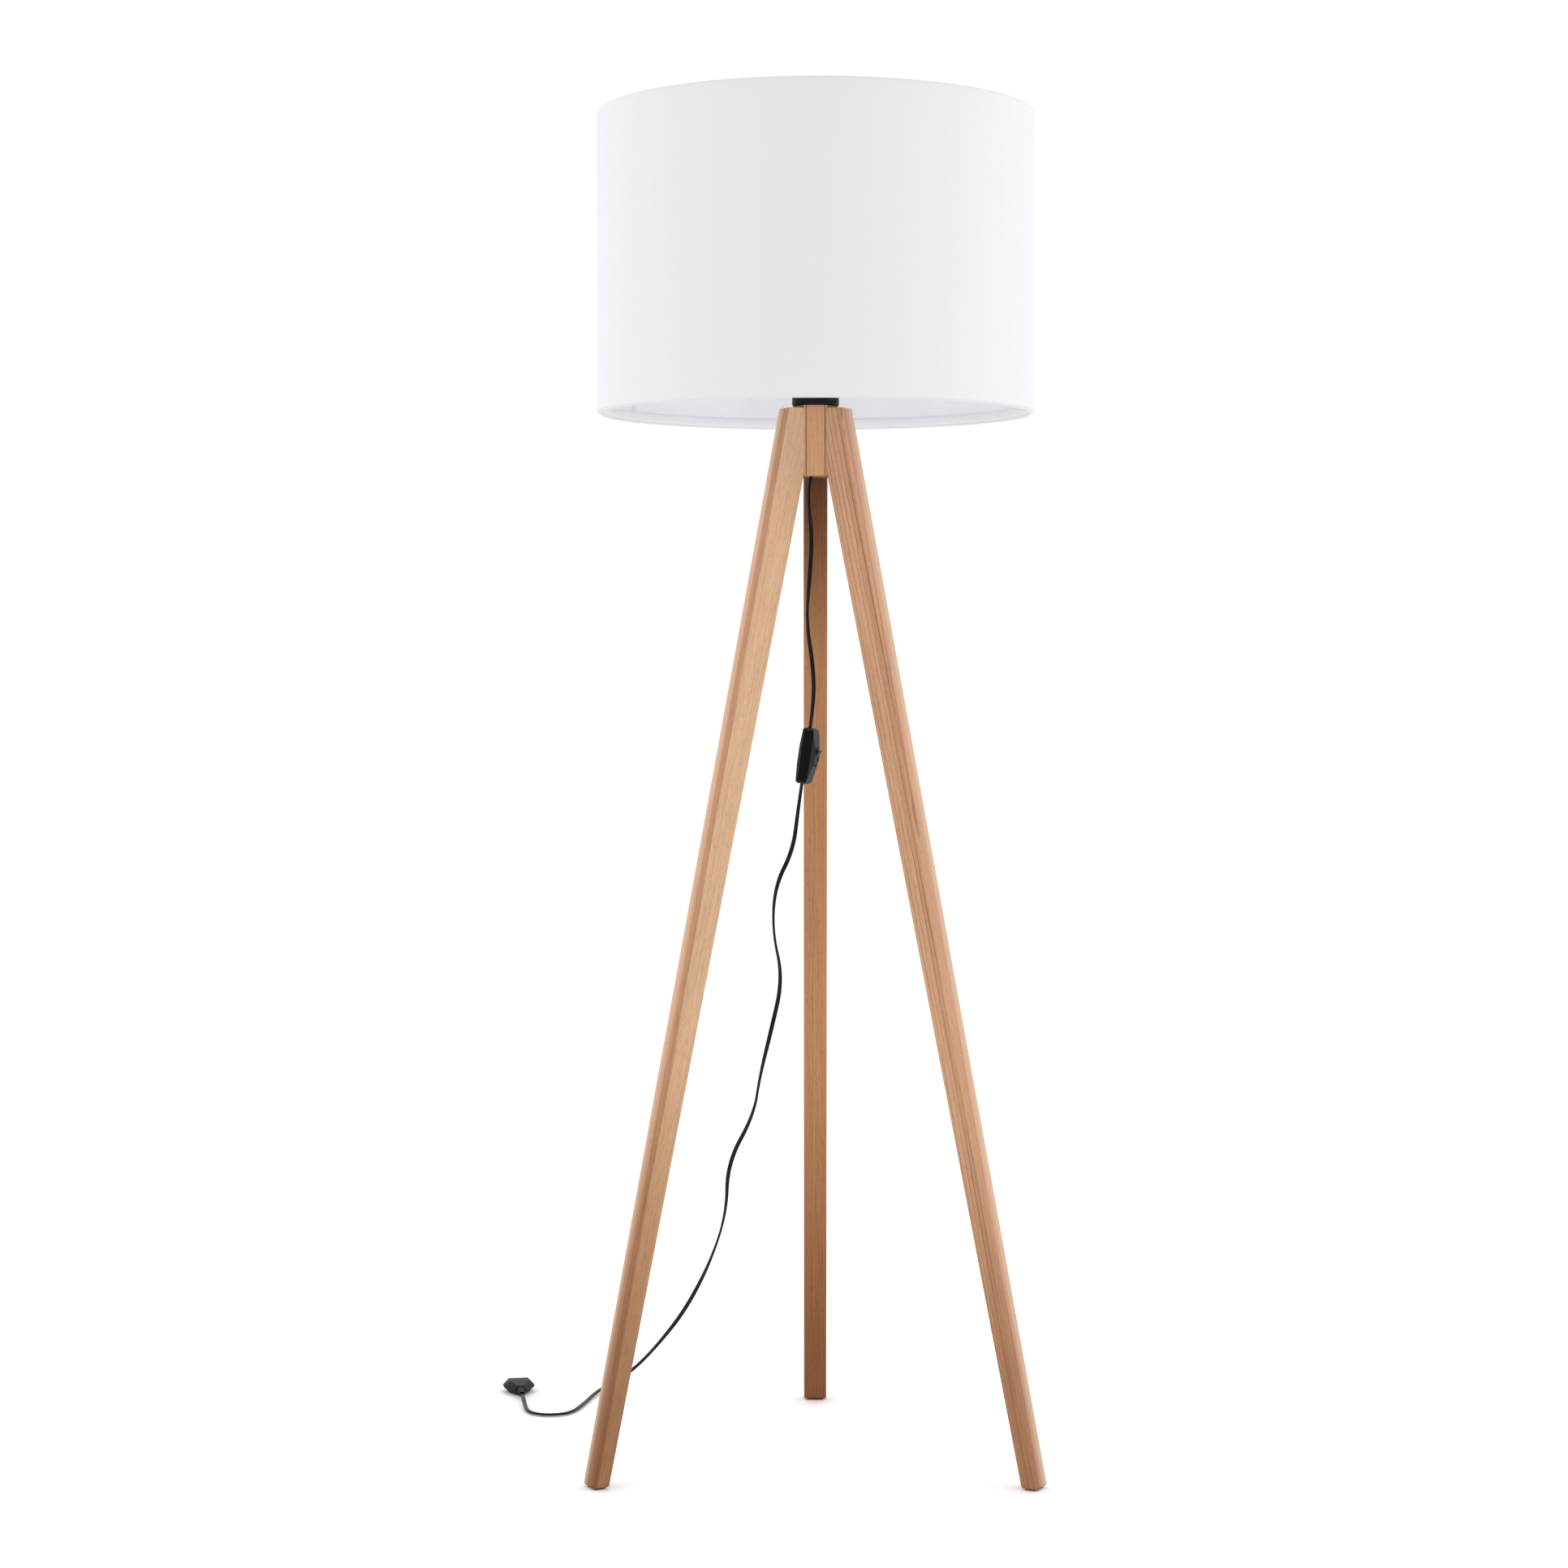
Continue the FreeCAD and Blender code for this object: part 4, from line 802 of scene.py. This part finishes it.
def drum_azimuths():
    """Evenly round the drum, with more where the slits for the spokes and the seam have edges."""
    chosen = [TURN * step / DRUM_STEPS for step in range(DRUM_STEPS)]
    features = [(spoke, SLIT_HALF, 0.5 * MM) for spoke in SPOKE_AZIMUTHS]
    features.append((SEAM_AZIMUTH, SEAM_WIDTH / 2, 0.4 * MM))
    for middle, half, flank in features:
        for off in (-half - flank, -half, half, half + flank):
            chosen.append((middle + off / SHADE_RADIUS) % TURN)
    return sorted(chosen)


def rolled_edge(level, upward, tuck, seam):
    """From the wall round the wire to the tuck's edge, outer side first, and back."""
    centre = level - upward * ROLL
    turn = [math.radians(180 * step / ROLL_STEPS) for step in range(ROLL_STEPS + 1)]

    def round_wire(radius):
        return [(SHADE_RADIUS - ROLL + radius * math.cos(angle),
                 centre + upward * radius * math.sin(angle))
                for angle in turn]

    tuck_radius = SHADE_RADIUS - CLOTH - TUCK_INSET
    end = centre - upward * tuck
    tip = [(tuck_radius - TUCK_EDGE, end), (tuck_radius, end)]
    return round_wire(ROLL + seam) + tip + round_wire(ROLL - CLOTH)[::-1]


def drum_section(azimuth, swell):
    """The fabric's section at an azimuth, as a closed loop of (radius, height) points."""
    in_seam = apart(azimuth, SEAM_AZIMUTH) <= SEAM_WIDTH / 2 + ROUNDING
    in_slit = any(apart(azimuth, spoke) <= SLIT_HALF + ROUNDING for spoke in SPOKE_AZIMUTHS)
    seam = SEAM_RISE if in_seam else 0.0
    outer = SHADE_RADIUS + swell
    tuck = TUCK + RAGGED * noise.noise(Vector((azimuth * RAGGED_WAVES, 0, 0)))
    low, high = SHADE_BOTTOM + ROLL, SHADE_TOP - ROLL
    wall = [low + (high - low) * step / WALL_ROWS for step in range(1, WALL_ROWS)]
    bottom = rolled_edge(SHADE_BOTTOM, -1, TUCK_EDGE if in_slit else tuck, seam)
    return ([(outer + seam, level) for level in wall]
            + rolled_edge(SHADE_TOP, 1, tuck, seam)
            + [(outer - CLOTH, level) for level in reversed(wall)]
            + bottom[::-1])


def add_fabric():
    """The drum of cloth: rolled over the wires and tucked in, overlapped at its seam."""
    mesh = bmesh.new()
    rings = []
    for azimuth in drum_azimuths():
        swell = SWELL * noise.noise(radial(azimuth) * SWELL_WAVES)
        rings.append(ring_at(mesh, azimuth, drum_section(azimuth, swell)))
    skin(mesh, rings, closed=True)
    fabric = new_piece("shade_fabric", mesh, LOOKS["shade_fabric"])
    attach(fabric, LAMP_BODY)
    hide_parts("shade_cover")


add_fabric()


# ---- threads and welds ----

E27_PITCH = 3.63 * MM
THREAD_ROWS = 72
THREAD_SIDES = 90
LEAD_IN_LOW = 2.5 * MM
LEAD_IN_HIGH = 4.0 * MM

BULB_SHEET = 0.3 * MM
BULB_RIDGE = 0.75 * MM

SHELL_SHEET = 0.4 * MM
SHELL_RIDGE = 0.8 * MM
SHELL_DEPTH = 1.25 * MM  # from the shell's outer radius in to the inside of its thread's root
FLANGE_BORE = 10 * MM
FLANGE_CHAMFER = (0.3 * MM, 0.2 * MM)
FLANGE_HEIGHT = 0.6 * MM
FLANGE_SIDES = 72

RING_PITCH = 2.5 * MM
RING_ROOT = 2.15 * MM  # from the collar's radius in to the shaft's, and a little into the shaft
RING_START, RING_END = 30.5 * MM, 2.5 * MM  # down from the collar's top
RING_STEPS = 64  # in each turn
RING_LEAD_IN = 40  # steps
RING_RISE = (0.15 * MM, 0.45 * MM)  # of its crest above its root: at its ends, and what it gains
RING_CREST_HALF = 0.30 * MM
RING_ROOT_HALF = 0.95 * MM

WELD_RING = (33.2 * MM, -1.9 * MM, 2.9 * MM)  # radius, height from the ring's top, and size
WELD_RIM = (-2.2 * MM, 0.6 * MM, 2.6 * MM)  # from the rim wire's radius and height, and size
WELD_LUMPS, WELD_WAVES = 0.22, 1.7
WELD_SPREAD = 900  # sets the beads' places far enough apart in the noise for each to differ


def rolled_thread(name, body, slot, low, high, wall, ridge):
    """A sleeve of thin sheet with a right-hand round thread rolled into it.

    wall gives its inner and outer radius from the thread's rise, which is at most the ridge and
    runs out towards both ends."""
    mesh = bmesh.new()
    rings = []
    levels = [low + (high - low) * row / THREAD_ROWS for row in range(THREAD_ROWS + 1)]
    for step in range(THREAD_SIDES):
        angle = TURN * step / THREAD_SIDES
        inner, outer = [], []
        for level in levels:
            turn = TURN * level / E27_PITCH - angle
            fade = min(1.0, (level - low) / LEAD_IN_LOW, (high - level) / LEAD_IN_HIGH)
            inside, outside = wall(ridge * max(0.0, fade) * (0.5 + 0.5 * math.cos(turn)))
            inner.append((inside, level))
            outer.append((outside, level))
        rings.append(ring_at(mesh, angle, outer + inner[::-1]))
    skin(mesh, rings, closed=True)
    sleeve = new_piece(name, mesh, LOOKS[slot])
    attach(sleeve, body)
    return sleeve


def add_bulb_thread():
    """The bulb's cap, with a thread on its outside and a plain inside."""
    low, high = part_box("bulb_cap")
    root = half_width("bulb_cap") - BULB_RIDGE
    cap = rolled_thread("bulb_thread_sleeve", "bulb", "bulb_nickel", low.z, high.z,
                        lambda rise: (root - BULB_SHEET, root + rise), BULB_RIDGE)
    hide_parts("bulb_cap")


def add_holder_thread():
    """The brass sleeve that the bulb screws into, and the inward flange it stands on."""
    low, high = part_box("holder_screw_shell")
    outside = half_width("holder_screw_shell")
    root = outside - SHELL_DEPTH
    shell = rolled_thread("holder_thread_sleeve", LAMP_BODY, "contact_brass",
                          low.z + FLANGE_HEIGHT, high.z,
                          lambda rise: (root + rise, root + rise + SHELL_SHEET), SHELL_RIDGE)
    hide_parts("holder_screw_shell")
    mesh = bmesh.new()
    inset, lift = FLANGE_CHAMFER
    profile = [
        (FLANGE_BORE, low.z), (outside - inset, low.z), (outside, low.z + lift),
        (outside, low.z + FLANGE_HEIGHT), (FLANGE_BORE, low.z + FLANGE_HEIGHT),
    ]
    rings = [ring_at(mesh, TURN * step / FLANGE_SIDES, profile) for step in range(FLANGE_SIDES)]
    skin(mesh, rings, closed=True)
    flange = new_piece("holder_thread_flange", mesh, LOOKS["contact_brass"], smooth=False)
    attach(flange, LAMP_BODY)


def add_ring_thread():
    """The coarse outer thread of the lampholder, on which the two shade rings run. It stands on
    the holder's shaft, below its collar."""
    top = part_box("holder_body")[1].z
    root = half_width("holder_body") - RING_ROOT
    start, end = top - RING_START, top - RING_END
    turns = (end - start) / RING_PITCH
    steps = round(turns * RING_STEPS)
    least, gain = RING_RISE
    mesh = bmesh.new()
    rings = []
    for step in range(steps + 1):
        angle = TURN * turns * step / steps
        crest = root + least + gain * min(1.0, min(step, steps - step) / RING_LEAD_IN)
        level = start + RING_PITCH * angle / TURN
        rings.append(ring_at(mesh, angle, [
            (root, level - RING_ROOT_HALF), (crest, level - RING_CREST_HALF),
            (crest, level + RING_CREST_HALF), (root, level + RING_ROOT_HALF),
        ]))
    skin(mesh, rings)
    thread = new_piece("holder_ring_thread", mesh, LOOKS["holder_plastic"], smooth=False)
    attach(thread, LAMP_BODY)


def add_welds():
    """Small lumpy beads where each spoke meets the spider's centre ring and its rim wire."""
    ring_radius, ring_drop, ring_size = WELD_RING
    rim_inset, rim_lift, rim_size = WELD_RIM
    ring_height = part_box("shade_fitter")[1].z + ring_drop
    rim_height = SHADE_BOTTOM + ROLL + rim_lift
    mesh = bmesh.new()
    for azimuth in SPOKE_AZIMUTHS:
        for radius, height, size in (
                (ring_radius, ring_height, ring_size),
                (SHADE_RADIUS - ROLL + rim_inset, rim_height, rim_size)):
            place = radial(azimuth) * radius + Vector((0, 0, height))
            made = bmesh.ops.create_icosphere(mesh, subdivisions=3, radius=1.0)
            for vertex in made["verts"]:
                bulge = noise.noise(vertex.co * WELD_WAVES + place * WELD_SPREAD)
                vertex.co = LAMP_AXIS + place + vertex.co * (size * (1 + WELD_LUMPS * bulge))
    welds = new_piece("spider_welds", mesh, LOOKS["wire_white"])
    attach(welds, LAMP_BODY)


add_bulb_thread()
add_holder_thread()
add_ring_thread()
add_welds()


# ---- the floor and the light ----

FLOOR_SIZE = 60.0
SKY = 1.05
FRONT_DIM = 0.35
BACK_GAIN = 0.55
SOFTBOX_DISTANCE = 2.4
SOFTBOX_HEIGHT = 1.25
SOFTBOX_SIZE = (1.2, 1.9)
SOFTBOX_AIM = 0.75
SOFTBOXES = [("softbox_right", -20, 11.5), ("softbox_left", 200, 8.5)]  # azimuth and power


def add_floor():
    mesh = bmesh.new()
    bmesh.ops.create_grid(mesh, x_segments=1, y_segments=1, size=FLOOR_SIZE)
    look = Look("floor", {"Specular IOR Level": 0.1, "Roughness": 0.8})
    cloud = look.noise(look.place(), 1.5)
    look.colour(look.mixed(cloud, (0.955, 0.955, 0.955), (0.965, 0.965, 0.965)))
    floor = new_piece("floor", mesh, look.material)


def add_world():
    """White all round at eye level, brighter above the back and dimmer above the front."""
    world = bpy.data.worlds.new("studio")
    world.use_nodes = True
    sky = Nodes(world.node_tree)
    _, back, up = sky.parts(sky.node("TexCoord").outputs["Generated"])
    change = sky.spread(back, -0.7, 0.7, -FRONT_DIM, BACK_GAIN)
    overhead = sky.spread(up, 0.22, 0.45)
    strength = sky.maths("ADD", sky.maths("MULTIPLY", change, overhead), SKY)
    sky.feed(sky.tree.nodes["Background"], {"Strength": strength, "Color": (1.0, 1.0, 1.0)})
    scene.world = world


def add_softbox(name, azimuth, power):
    """A large area light that faces the lamp's middle."""
    light = bpy.data.lights.new(name, "AREA")
    light.shape = "RECTANGLE"
    light.size, light.size_y = SOFTBOX_SIZE
    light.energy = power
    box = linked(bpy.data.objects.new(name, light))
    box.location = LAMP_AXIS + compass(azimuth) * SOFTBOX_DISTANCE + Vector((0, 0, SOFTBOX_HEIGHT))
    aim = LAMP_AXIS + Vector((0, 0, SOFTBOX_AIM)) - box.location
    box.rotation_euler = aim.to_track_quat("-Z", "Y").to_euler()


add_floor()
add_world()
for softbox in SOFTBOXES:
    add_softbox(*softbox)
scene.view_settings.view_transform = "Standard"
